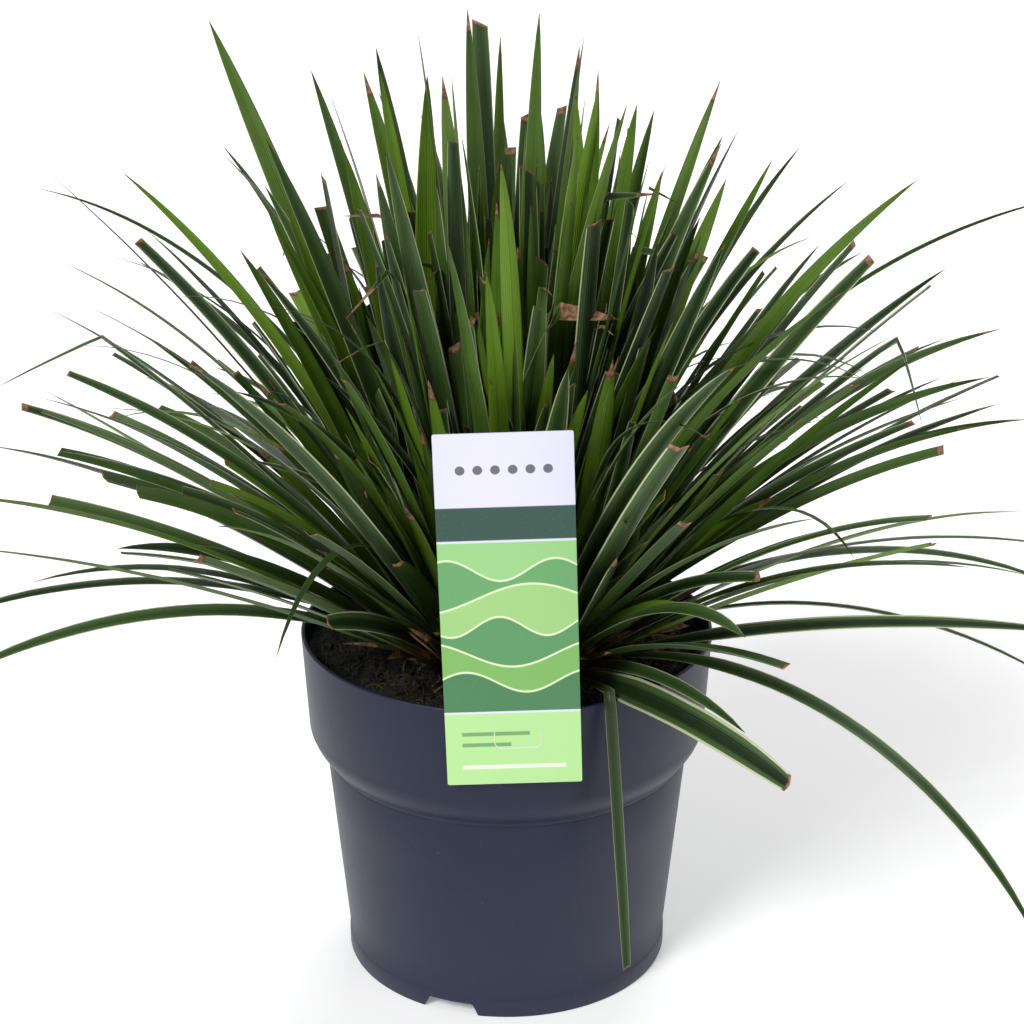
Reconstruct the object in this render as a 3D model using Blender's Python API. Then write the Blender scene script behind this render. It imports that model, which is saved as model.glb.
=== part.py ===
"""A potted variegated sedge: a clump of keeled, arching leaf blades growing from a crown in peat,
in a collared nursery pot, with a bare plant label hooked on the rim.

Metres, +Z up. The origin is the centre of the pot's foot, on the surface that it stands on.
"""

import math
import random

import bmesh
import bpy
from mathutils import Matrix, Vector
from mathutils.bvhtree import BVHTree

MM = 0.001
TAU = 2 * math.pi

# Driving dimensions of the pot
POT_HEIGHT = 164 * MM
RIM_RADIUS = 95 * MM
COLLAR_FOOT_RADIUS = 92.4 * MM
COLLAR_HEIGHT = 44 * MM
SHOULDER_HEIGHT = 15 * MM
BODY_TOP_RADIUS = 84.6 * MM
BODY_FOOT_RADIUS = 75.4 * MM
FOOT_BAND_RADIUS = 75.9 * MM
FOOT_BAND_HEIGHT = 9 * MM
WALL = 1.8 * MM
FLOOR_UNDERSIDE = 7 * MM
FLOOR_THICKNESS = 2 * MM
FOOT_RING_WIDTH = 4 * MM
POT_SEGMENTS = 48
NOTCH_AZIMUTHS = (-110, 10, 130)
NOTCH_WIDTH = 22 * MM
NOTCH_HEIGHT = 6 * MM
DRAIN_HOLES = 6
DRAIN_RADIUS = 5 * MM
DRAIN_CIRCLE_RADIUS = 52 * MM
DRAIN_TURN = math.radians(22)

# Driving dimensions of the peat and of the crown's pit in it
SOIL_DROP = 11 * MM
SOIL_RISE = 5 * MM
SOIL_GAP = 0.4 * MM
SOIL_TOP = POT_HEIGHT - SOIL_DROP
PIT_RADIUS = 50 * MM
PIT_DEPTH = 14 * MM
SOIL_SEGMENTS = 40

# Driving dimensions of the label
LABEL_WIDTH = 58 * MM
LABEL_HEIGHT = 160 * MM
LABEL_THICKNESS = 0.8 * MM
LABEL_BELOW_RIM = 33 * MM
LABEL_TILT = math.radians(-1.9)
LABEL_SHIFT = 2.5 * MM
LABEL_BACK = RIM_RADIUS + 0.5 * MM
HOOK_WIDTH = 18 * MM
HOOK_DROP = 9 * MM
HOOK_RISE = 0.9 * MM

# The clump: a heart of upright shoots inside a cone, and a skirt of leaning shoots outside it
HEART_SEED = 43
SKIRT_SEED = 42
HEART_PARTS = 3
HEART_TURN = math.radians(-30)
HEART_RADIUS = 26 * MM
HEART_SLOPE = 0.42
HEART_CROWN_RISE = 22 * MM
SKIRT_PARTS = 8
SKIRT_TURN = math.radians(22.5)
SKIRT_CROWN_RISE = 8 * MM
CROWN_GAP = 0.4 * MM
CULM_BORE = 2.6 * MM
PART_MARGIN = 0.5 * MM
HEART_SPANS = 4
SKIRT_SPANS = 5
HEART_BLADES = 42
SKIRT_TIERS = 4
BLADES_IN_TIER = 5
DRAWS = 30
FILL_REACH = 235 * MM
FILL_DEPTH = 182 * MM

# The flower spike, which stands in the bore at the clump's centre
CULM_RADIUS = 0.8 * MM
CULM_LENGTH = 252 * MM
CULM_REACH = 37 * MM
SPIKE_SHARE = 0.13
SPIKE_RADIUS = 3.0 * MM

COLOURS = {
    "pot_plastic": ((0.052, 0.058, 0.085), 0.42),
    "peat": ((0.018, 0.013, 0.010), 0.95),
    "young_leaf": ((0.075, 0.190, 0.020), 0.40),
    "mature_leaf": ((0.022, 0.075, 0.022), 0.38),
    "dry_spike": ((0.180, 0.095, 0.060), 0.80),
    "label_card": ((0.560, 0.800, 0.420), 0.45),
}


def polar(radius, azimuth, z):
    return Vector((radius * math.cos(azimuth), radius * math.sin(azimuth), z))


def material(name):
    made = bpy.data.materials.get(name)
    if made is None:
        made = bpy.data.materials.new(name)
        made.use_nodes = True
        colour, roughness = COLOURS[name]
        shader = made.node_tree.nodes["Principled BSDF"]
        shader.inputs["Base Color"].default_value = (*colour, 1.0)
        shader.inputs["Roughness"].default_value = roughness
        shader.inputs["Metallic"].default_value = 0.0
        made.diffuse_color = (*colour, 1.0)
    return made


def add_object(name, points, faces, finish, collection=None):
    mesh = bpy.data.meshes.new(name)
    mesh.from_pydata([tuple(p) for p in points], [], faces)
    mesh.update()
    made = bpy.data.objects.new(name, mesh)
    (collection or bpy.context.scene.collection).objects.link(made)
    if finish:
        mesh.materials.append(material(finish))
    return made


def clear_scene():
    for old in list(bpy.data.objects):
        bpy.data.objects.remove(old, do_unlink=True)


def turned(name, profile, segments, finish):
    """A solid turned about Z from an outline that starts and ends on the axis, top outside to bottom."""
    points, faces, rings = [], [], []
    for radius, z in profile:
        if radius < 1e-6:
            rings.append([len(points)])
            points.append(Vector((0, 0, z)))
            continue
        rings.append(list(range(len(points), len(points) + segments)))
        points += [polar(radius, TAU * i / segments, z) for i in range(segments)]
    for upper, lower in zip(rings, rings[1:]):
        for i in range(segments):
            j = (i + 1) % segments
            if len(upper) == 1:
                faces.append((upper[0], lower[i], lower[j]))
            elif len(lower) == 1:
                faces.append((upper[i], lower[0], upper[j]))
            else:
                faces.append((upper[i], lower[i], lower[j], upper[j]))
    return add_object(name, points, faces, finish)


def apply_modifiers(target):
    graph = bpy.context.evaluated_depsgraph_get()
    mesh = bpy.data.meshes.new_from_object(target.evaluated_get(graph))
    target.modifiers.clear()
    target.data = mesh


def cut(target, cutters):
    for cutter in cutters:
        boolean = target.modifiers.new("cut", "BOOLEAN")
        boolean.operation = "DIFFERENCE"
        boolean.object = cutter
    bpy.context.view_layer.update()
    apply_modifiers(target)
    for cutter in cutters:
        bpy.data.objects.remove(cutter, do_unlink=True)


def shade_smooth(target, angle=35):
    target.data.shade_smooth()
    target.data.set_sharp_from_angle(angle=math.radians(angle))


# The pot

def collar_foot_z():
    return POT_HEIGHT - COLLAR_HEIGHT


def shoulder_foot_z():
    return collar_foot_z() - SHOULDER_HEIGHT


def pot_outer_radius(z):
    """The pot's outside radius at height z."""
    if z >= collar_foot_z():
        share = (POT_HEIGHT - z) / COLLAR_HEIGHT
        return RIM_RADIUS + (COLLAR_FOOT_RADIUS - RIM_RADIUS) * share
    if z >= shoulder_foot_z():
        share = (collar_foot_z() - z) / SHOULDER_HEIGHT
        return COLLAR_FOOT_RADIUS + (BODY_TOP_RADIUS - COLLAR_FOOT_RADIUS) * share**2
    share = (shoulder_foot_z() - z) / (shoulder_foot_z() - FOOT_BAND_HEIGHT)
    return BODY_TOP_RADIUS + (BODY_FOOT_RADIUS - BODY_TOP_RADIUS) * min(share, 1)


def shoulder_points(inset, count=4):
    """The collar's curved underside, from its foot in to the body."""
    heights = [collar_foot_z() - SHOULDER_HEIGHT * i / count for i in range(1, count + 1)]
    return [(pot_outer_radius(z) - inset, z) for z in heights]


def pot_profile():
    lip = 0.6 * MM
    step = 0.8 * MM
    foot_inner = FOOT_BAND_RADIUS - FOOT_RING_WIDTH
    floor_top = FLOOR_UNDERSIDE + FLOOR_THICKNESS
    inner_foot = BODY_FOOT_RADIUS - WALL
    inner = [(0, floor_top), (inner_foot - 2 * MM, floor_top), (inner_foot, floor_top + 2 * MM)]
    inner += reversed(shoulder_points(WALL, 2))
    inner += [(COLLAR_FOOT_RADIUS - WALL, collar_foot_z())]
    inner += [(RIM_RADIUS - WALL, POT_HEIGHT - lip), (RIM_RADIUS - WALL + lip, POT_HEIGHT)]
    outer = [(RIM_RADIUS - lip, POT_HEIGHT), (RIM_RADIUS, POT_HEIGHT - lip)]
    outer += [(COLLAR_FOOT_RADIUS, collar_foot_z())]
    outer += shoulder_points(0)
    outer += [(BODY_FOOT_RADIUS, FOOT_BAND_HEIGHT), (FOOT_BAND_RADIUS, FOOT_BAND_HEIGHT - step)]
    outer += [(FOOT_BAND_RADIUS, step), (FOOT_BAND_RADIUS - step, 0)]
    outer += [(foot_inner, 0), (foot_inner, FLOOR_UNDERSIDE), (0, FLOOR_UNDERSIDE)]
    return inner + outer


def notch_cutter(azimuth):
    """A wedge that opens the foot ring: wider at the ground than at its top."""
    top = NOTCH_WIDTH / 2
    foot = top + NOTCH_HEIGHT * 0.4
    near, far = RIM_RADIUS * 0.6, RIM_RADIUS
    section = ((-foot, -2 * MM), (foot, -2 * MM), (foot, 0), (top, NOTCH_HEIGHT), (-top, NOTCH_HEIGHT), (-foot, 0))
    count = len(section)
    turn = Matrix.Rotation(math.radians(azimuth), 4, "Z")
    points = [turn @ Vector((reach, across, z)) for reach in (near, far) for across, z in section]
    faces = [tuple(reversed(range(count))), tuple(range(count, 2 * count))]
    faces += [(i, (i + 1) % count, (i + 1) % count + count, i + count) for i in range(count)]
    return add_object("notch_cutter", points, faces, None)


def drain_cutter(azimuth):
    sides = 16
    centre = polar(DRAIN_CIRCLE_RADIUS, azimuth, 0)
    heights = (FLOOR_UNDERSIDE - 2 * MM, FLOOR_UNDERSIDE + FLOOR_THICKNESS + 2 * MM)
    points = [centre + polar(DRAIN_RADIUS, TAU * i / sides, z) for z in heights for i in range(sides)]
    faces = [tuple(reversed(range(sides))), tuple(range(sides, 2 * sides))]
    faces += [(i, (i + 1) % sides, (i + 1) % sides + sides, i + sides) for i in range(sides)]
    return add_object("drain_cutter", points, faces, None)


def make_pot():
    pot = turned("pot", pot_profile(), POT_SEGMENTS, "pot_plastic")
    cutters = [notch_cutter(azimuth) for azimuth in NOTCH_AZIMUTHS]
    cutters += [drain_cutter(DRAIN_TURN + TAU * i / DRAIN_HOLES) for i in range(DRAIN_HOLES)]
    cut(pot, cutters)
    shade_smooth(pot)


# The peat

def soil_height(x, y):
    """The peat's rough surface: it rises a little to the crown, with low lumps."""
    share = max(0.0, 1 - math.hypot(x, y) / RIM_RADIUS)
    lumps = math.sin(x / (9 * MM) + 1.3) * math.cos(y / (8 * MM)) + 0.6 * math.sin((x - y) / (5 * MM))
    return SOIL_TOP + SOIL_RISE * share + 1.1 * MM * lumps


def make_soil():
    top_radius = pot_outer_radius(SOIL_TOP) - WALL - SOIL_GAP
    floor = FLOOR_UNDERSIDE + FLOOR_THICKNESS + SOIL_GAP
    pit = PIT_RADIUS + CROWN_GAP
    pit_floor = SOIL_TOP - PIT_DEPTH
    rings = 3
    profile = [(0, pit_floor), (pit, pit_floor)]
    profile += [(pit + (top_radius - 1 * MM - pit) * i / rings, SOIL_TOP) for i in range(rings + 1)]
    below_lumps = SOIL_TOP - 5 * MM
    profile += [(pot_outer_radius(below_lumps) - WALL - SOIL_GAP, below_lumps)]
    profile += [(COLLAR_FOOT_RADIUS - WALL - SOIL_GAP, collar_foot_z())]
    profile += [(radius - SOIL_GAP, z) for radius, z in shoulder_points(WALL, 2)]
    foot = BODY_FOOT_RADIUS - WALL - SOIL_GAP
    profile += [(foot, floor + 3 * MM), (foot - 3 * MM, floor), (0, floor)]
    soil = turned("peat", profile, SOIL_SEGMENTS, "peat")
    for vertex in soil.data.vertices:
        x, y, z = vertex.co
        if abs(z - SOIL_TOP) < 1e-6:
            vertex.co.z = soil_height(x, y)
    shade_smooth(soil)


# The label

def label_place():
    """The turn and shift that put the upright card and its hook on the rim."""
    hinge = Vector((LABEL_SHIFT, 0, POT_HEIGHT))
    return Matrix.Translation(hinge) @ Matrix.Rotation(LABEL_TILT, 4, "Y")


def block(name, low, high, finish=None):
    points = [Vector((x, y, z)) for x in (low[0], high[0]) for y in (low[1], high[1]) for z in (low[2], high[2])]
    faces = [(0, 1, 3, 2), (4, 6, 7, 5), (0, 4, 5, 1), (2, 3, 7, 6), (0, 2, 6, 4), (1, 5, 7, 3)]
    return add_object(name, points, faces, finish)


def make_label():
    half = LABEL_WIDTH / 2
    front = -LABEL_BACK - LABEL_THICKNESS
    card = block("plant_label", (-half, front, -LABEL_BELOW_RIM),
                 (half, -LABEL_BACK, LABEL_HEIGHT - LABEL_BELOW_RIM), "label_card")
    inside = -(RIM_RADIUS - WALL) + 1.2 * MM
    reach = HOOK_WIDTH / 2
    top = HOOK_RISE + LABEL_THICKNESS
    bridge = block("hook_bridge", (-reach, front + 0.3 * MM, HOOK_RISE), (reach, inside + LABEL_THICKNESS, top))
    tongue = block("hook_tongue", (-reach, inside, -HOOK_DROP), (reach, inside + LABEL_THICKNESS, top - 0.2 * MM))
    for piece in (bridge, tongue):
        joint = card.modifiers.new("join", "BOOLEAN")
        joint.operation = "UNION"
        joint.object = piece
    bpy.context.view_layer.update()
    apply_modifiers(card)
    for piece in (bridge, tongue):
        bpy.data.objects.remove(piece, do_unlink=True)
    card.data.transform(label_place())


# Leaf blades

class Blade:
    """One keeled leaf. It leans from its root in a direction that sweeps a little, and bends over to its tip.

    Angles are in radians, and lean is measured from the vertical. cut is the share of the full blade
    that is left where its end was trimmed, and 1 leaves it pointed. A crease turns the lean at a share
    of the length, as where a blade has folded.
    """

    def __init__(self, root, azimuth, lean, lean_tip, length, width, bend=1.0, sweep=0.0,
                 roll=0.0, cut=1.0, crease=None, spans=SKIRT_SPANS):
        self.root, self.azimuth, self.lean, self.lean_tip = root, azimuth, lean, lean_tip
        self.length, self.width, self.bend, self.sweep = length, width, bend, sweep
        self.roll, self.cut, self.crease, self.spans = roll, cut, crease, spans

    def heading(self, share):
        azimuth = self.azimuth + self.sweep * share
        lean = self.lean + (self.lean_tip - self.lean) * share**self.bend
        if self.crease and share > self.crease[0]:
            lean += self.crease[1]
        along = Vector((math.sin(lean) * math.cos(azimuth), math.sin(lean) * math.sin(azimuth), math.cos(lean)))
        return azimuth, along

    def midrib(self, spans):
        """Stations (share, point, across, upper side normal) from the root to the end."""
        steps = 40
        point = self.root.copy()
        walk = [point.copy()]
        for i in range(steps):
            _, along = self.heading((i + 0.5) / steps)
            point = point + along * (self.length / steps)
            walk.append(point.copy())
        stations = []
        for i in range(spans + 1):
            share = self.cut * i / spans
            place = share * steps
            low = min(int(place), steps - 1)
            here = walk[low].lerp(walk[low + 1], place - low)
            azimuth, along = self.heading(share)
            across = Vector((-math.sin(azimuth), math.cos(azimuth), 0))
            across = Matrix.Rotation(self.roll * min(1, 3 * share), 3, along) @ across
            stations.append((share, here, across, along.cross(across)))
        return stations

    def width_at(self, share):
        """Narrow at the sheath, widest past a third of the way, then drawn out to a fine point."""
        opening = 0.5 + 0.5 * min(1, share / 0.3)
        return self.width * opening * max(0.0, 1 - share**3) ** 0.9


def blade_mesh(blade, finer=1):
    """A three-sided blade: two edges and the keel under them, drawn to a point or cut square."""
    keel_share, lift_share = 0.10, 0.16
    points, faces = [], []
    stations = blade.midrib(finer * blade.spans)
    pointed = blade.cut > 0.98
    for share, here, across, upper in stations[:-1] if pointed else stations:
        width = blade.width_at(share)
        points.append(here + across * (width / 2) + upper * (width * lift_share))
        points.append(here - across * (width / 2) + upper * (width * lift_share))
        points.append(here - upper * (width * keel_share + 0.35 * MM))
    rings = len(points) // 3
    faces.append((2, 1, 0))
    for ring in range(rings - 1):
        a = 3 * ring
        for i in range(3):
            j = (i + 1) % 3
            faces.append((a + i, a + j, a + i + 3))
            faces.append((a + i + 3, a + j, a + j + 3))
    last = 3 * (rings - 1)
    if pointed:
        points.append(stations[-1][1])
        faces += [(last + i, last + (i + 1) % 3, len(points) - 1) for i in range(3)]
    else:
        faces.append((last, last + 1, last + 2))
    return points, faces


def reaching(root, azimuth, reach, height, turn, width, **more):
    """A leaf whose end is at a reach and height, on an even arch that turns over by an angle in degrees.

    All lengths are in millimetres, the azimuth and turn in degrees, and the height is above the ground.
    """
    end = polar(reach * MM, math.radians(azimuth), height * MM)
    level = Vector((end.x - root.x, end.y - root.y, 0))
    chord = (end - root).length
    slant = math.atan2(level.length, end.z - root.z)
    half = math.radians(turn) / 2
    length = chord * half / math.sin(half)
    # The full blade goes on past a trimmed end on the same arch
    cut = more.get("cut", 1.0)
    return Blade(root, math.atan2(level.y, level.x), slant - half, slant - half + 2 * half / cut,
                 length / cut, width * MM, **more)


# Where a blade may go

def heart_cone(z):
    """The radius at height z of the cone between the heart's shoots and the skirt's."""
    return HEART_RADIUS + CROWN_GAP / 2 + HEART_SLOPE * max(0.0, z - SOIL_TOP)


def clear_of_pot(point):
    margin = 1.2 * MM
    radius = math.hypot(point.x, point.y)
    if point.z > POT_HEIGHT + margin:
        return True
    if point.z < 8 * MM:
        return False
    if radius > pot_outer_radius(point.z) + margin:
        return True
    if radius > PIT_RADIUS - 2 * MM:
        above_soil = point.z > soil_height(point.x, point.y) + margin
        return above_soil and radius < RIM_RADIUS - WALL - 2 * MM
    return True


def clear_of_label(point):
    margin = 4.0 * MM
    local = label_place().inverted() @ point
    if abs(local.x) > LABEL_WIDTH / 2 + margin:
        return True
    if not -LABEL_BELOW_RIM - margin < local.z < LABEL_HEIGHT - LABEL_BELOW_RIM + margin:
        return True
    in_front = -local.y
    if in_front < RIM_RADIUS - WALL - HOOK_DROP:
        return True
    return in_front < LABEL_BACK - margin and local.z > HOOK_RISE + LABEL_THICKNESS + margin


def spike_axis(share):
    """A point on the flower stem, which bends over evenly from upright."""
    lean = 2 * math.asin(CULM_REACH / CULM_LENGTH) * share
    height = CULM_LENGTH * share * math.cos(lean * 0.5)
    return Vector((CULM_REACH * share**1.7, 0, SOIL_TOP - PIT_DEPTH + CROWN_GAP + height))


SPIKE_GUARD = [spike_axis(i / 24) for i in range(25)]


def clear_of_spike(point):
    for i, centre in enumerate(SPIKE_GUARD):
        guard = SPIKE_RADIUS + 4 * MM if i / 24 > 0.95 - SPIKE_SHARE else CULM_RADIUS + 3 * MM
        if (point - centre).length < guard:
            return False
    return True


def side_distance(point, azimuth):
    """How far a point lies to the left of the upright half plane at that azimuth."""
    return point.y * math.cos(azimuth) - point.x * math.sin(azimuth)


def in_heart(point):
    return math.hypot(point.x, point.y) < heart_cone(point.z) - 0.5 * MM and clear_of_spike(point)


def in_skirt(point):
    outside = math.hypot(point.x, point.y) > heart_cone(point.z) + 0.5 * MM
    return outside and clear_of_pot(point) and clear_of_label(point)


def fits(points, low, high, keep):
    """True if the points, and those between ring and ring, lie between two half planes and pass keep."""
    between = [a.lerp(b, share) for share in (0.25, 0.5, 0.75) for a, b in zip(points, points[3:])]
    for point in points + between:
        if side_distance(point, low) < PART_MARGIN or side_distance(point, high) > -PART_MARGIN:
            return False
        if not keep(point):
            return False
    return True


def free_part(blade, crown_top):
    """The tree of the blade's faces above the crown, where it must not cross another blade."""
    points, faces = blade_mesh(blade, 3)
    free = [face for face in faces if min(points[i].z for i in face) > crown_top]
    return BVHTree.FromPolygons(points, free) if free else None


# The clump

def sector(levels, low, high):
    """The points and faces of a sector between two azimuths, from its levels (z, inner, outer radius)."""
    arc = 4
    points, faces = [], []
    for z, inner, outer in levels:
        for radius in (inner, outer):
            gap = math.asin(CROWN_GAP / 2 / radius)
            points += [polar(radius, low + gap + (high - low - 2 * gap) * i / arc, z) for i in range(arc + 1)]
    row = arc + 1
    for level in range(len(levels) - 1):
        a, b = level * 2 * row, (level + 1) * 2 * row
        for i in range(arc):
            faces.append((a + i, b + i, b + i + 1, a + i + 1))
            faces.append((a + row + i + 1, b + row + i + 1, b + row + i, a + row + i))
        faces.append((a, a + row, b + row, b))
        faces.append((a + arc, b + arc, b + row + arc, a + row + arc))
    last = (len(levels) - 1) * 2 * row
    faces += [(i, i + 1, i + row + 1, i + row) for i in range(arc)]
    faces += [(last + i, last + i + row, last + i + row + 1, last + i + 1) for i in range(arc)]
    return points, faces


def crown_levels(inner_wall, outer_wall, rise, draw_in):
    """Levels of a crown: straight in the peat, following its walls above it, and drawn in at its top."""
    bottom = SOIL_TOP - PIT_DEPTH + CROWN_GAP
    shoulder = SOIL_TOP + rise - 4 * MM
    top = SOIL_TOP + rise
    return [
        (bottom, inner_wall(bottom), outer_wall(bottom)),
        (SOIL_TOP, inner_wall(SOIL_TOP), outer_wall(SOIL_TOP)),
        (shoulder, inner_wall(shoulder), outer_wall(shoulder)),
        (top, inner_wall(top), outer_wall(top) - draw_in),
    ]


def add_crown(name, levels, low, high, finish):
    """The shoots' fused bases, which the blades grow from."""
    points, faces = sector(levels, low, high)
    crown = add_object(name, points, faces, finish)
    tidy = bmesh.new()
    tidy.from_mesh(crown.data)
    bmesh.ops.triangulate(tidy, faces=tidy.faces)
    bmesh.ops.recalc_face_normals(tidy, faces=tidy.faces)
    tidy.to_mesh(crown.data)
    tidy.free()
    return crown


def keep_main_body(target):
    """Leaves the largest closed piece: the skins of sealed pockets and loose scraps are dropped."""
    work = bmesh.new()
    work.from_mesh(target.data)
    unseen = set(work.verts)
    bodies = []
    while unseen:
        reach = [unseen.pop()]
        body = set(reach)
        while reach:
            for edge in reach.pop().link_edges:
                for vertex in edge.verts:
                    if vertex in unseen:
                        unseen.remove(vertex)
                        body.add(vertex)
                        reach.append(vertex)
        bodies.append(body)
    main_body = max(bodies, key=len)
    loose = [vertex for vertex in work.verts if vertex not in main_body]
    bmesh.ops.delete(work, geom=loose, context="VERTS")
    work.to_mesh(target.data)
    work.free()


def fuse(crown, blades):
    """Joins the blades to the crown that they grow from, as one solid."""
    gathered = bpy.data.collections.new(crown.name + "_blades")
    bpy.context.scene.collection.children.link(gathered)
    for blade in blades:
        points, faces = blade_mesh(blade)
        add_object("blade", points, faces, None, gathered)
    join = crown.modifiers.new("join", "BOOLEAN")
    join.operation = "UNION"
    join.operand_type = "COLLECTION"
    join.collection = gathered
    join.solver = "MANIFOLD"
    bpy.context.view_layer.update()
    apply_modifiers(crown)
    for blade in list(gathered.objects):
        bpy.data.objects.remove(blade, do_unlink=True)
    bpy.data.collections.remove(gathered)
    keep_main_body(crown)


def heart_root(share, azimuth):
    return polar(share * HEART_RADIUS, azimuth, SOIL_TOP)


def skirt_root(inset, azimuth):
    """A root in the skirt's crown: inset 0 is next to the heart, and 1 is near the crown's outer edge."""
    return polar(HEART_RADIUS + (4 + 15 * inset) * MM, azimuth, SOIL_TOP + 3 * MM * inset)


def heart_blade(draw, low, high, _):
    """An upright young leaf or an older trimmed one, which leans as far as it stands from the axis."""
    share = 0.25 + 0.68 * math.sqrt(draw.random())
    azimuth = draw.uniform(low, high)
    lean = math.radians(20 * share + draw.uniform(-6, 4))
    trimmed = draw.random() < 0.2
    return Blade(heart_root(share, azimuth), azimuth + draw.uniform(-0.25, 0.25), lean,
                 lean + math.radians(draw.uniform(0, 14)), draw.uniform(150, 275) * MM,
                 draw.uniform(8, 12.5) * MM, draw.uniform(1.2, 2.2), draw.uniform(-0.4, 0.4),
                 draw.uniform(-0.9, 0.9), draw.uniform(0.65, 0.85) if trimmed else 1.0,
                 spans=HEART_SPANS)


def skirt_blade(draw, low, high, tier):
    """A leaning leaf: the farther out it grows, the lower it lies and the more it arches."""
    inset = (tier + draw.random()) / SKIRT_TIERS
    azimuth = low + (high - low) * draw.uniform(0.12, 0.88)
    lean = math.radians(20 + 34 * inset + draw.uniform(-3, 6))
    trimmed = draw.random() < 0.5
    return Blade(skirt_root(inset, azimuth), azimuth + draw.uniform(-0.1, 0.1), lean,
                 lean + math.radians(draw.uniform(12, 40 + 10 * inset)), draw.uniform(180, 275) * MM,
                 draw.uniform(7.5, 11.5) * MM, draw.uniform(1.1, 2.0), draw.uniform(-0.3, 0.3),
                 draw.uniform(-0.6, 0.6), draw.uniform(0.6, 0.88) if trimmed else 1.0)


def grown(kept, draw, make, counts, low, high, crown_top, keep):
    """Adds blades that lie between the half planes and cross no other, each drawn again until it is clear."""
    trees = [free_part(blade, crown_top) for blade in kept]
    for tier, count in enumerate(counts):
        wanted = len(kept) + count
        for _ in range(count * DRAWS):
            if len(kept) == wanted:
                break
            blade = make(draw, low, high, tier)
            points, _ = blade_mesh(blade)
            if max(abs(p.x) for p in points) > FILL_REACH or max(abs(p.y) for p in points) > FILL_DEPTH:
                continue
            if not fits(points, low, high, keep):
                continue
            tree = free_part(blade, crown_top)
            if tree and any(other and tree.overlap(other) for other in trees):
                continue
            kept.append(blade)
            trees.append(tree)
    return kept


def named_leaves(low, high, leaves):
    """Those of the leaves that root in the part between the two azimuths."""
    middle = (low + high) / 2
    half = (high - low) / 2
    return [leaf for leaf in leaves if abs(wrapped(math.atan2(leaf.root.y, leaf.root.x) - middle)) < half]


def wrapped(angle):
    return (angle + math.pi) % TAU - math.pi


def heart_leaves():
    """The tall leaves that give the clump its top outline."""
    def leaf(azimuth, *shape, share=0.6, **more):
        root = heart_root(share, math.radians(azimuth))
        return reaching(root, azimuth, *shape, spans=HEART_SPANS, **more)

    return [
        leaf(120, 34, 441, 6, 10),
        leaf(107, 40, 434, 4, 11, cut=0.86, share=0.85),
        leaf(62, 30, 440, 5, 9),
        leaf(190, 38, 438, 8, 9, share=0.7),
        leaf(150, 66, 424, 6, 11, share=0.85),
        leaf(172, 62, 418, 10, 12),
        leaf(231, 42, 424, 6, 13, share=0.85),
        leaf(40, 44, 430, 8, 9),
        leaf(14, 66, 400, 8, 11, share=0.9),
        leaf(-15, 101, 402, 14, 13, share=0.85),
        leaf(165, 88, 416, 10, 9, share=0.9),
        leaf(169, 131, 437, 4, 12, share=0.92),
        leaf(-82, 34, 352, 6, 12, share=0.85),
    ]


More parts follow.
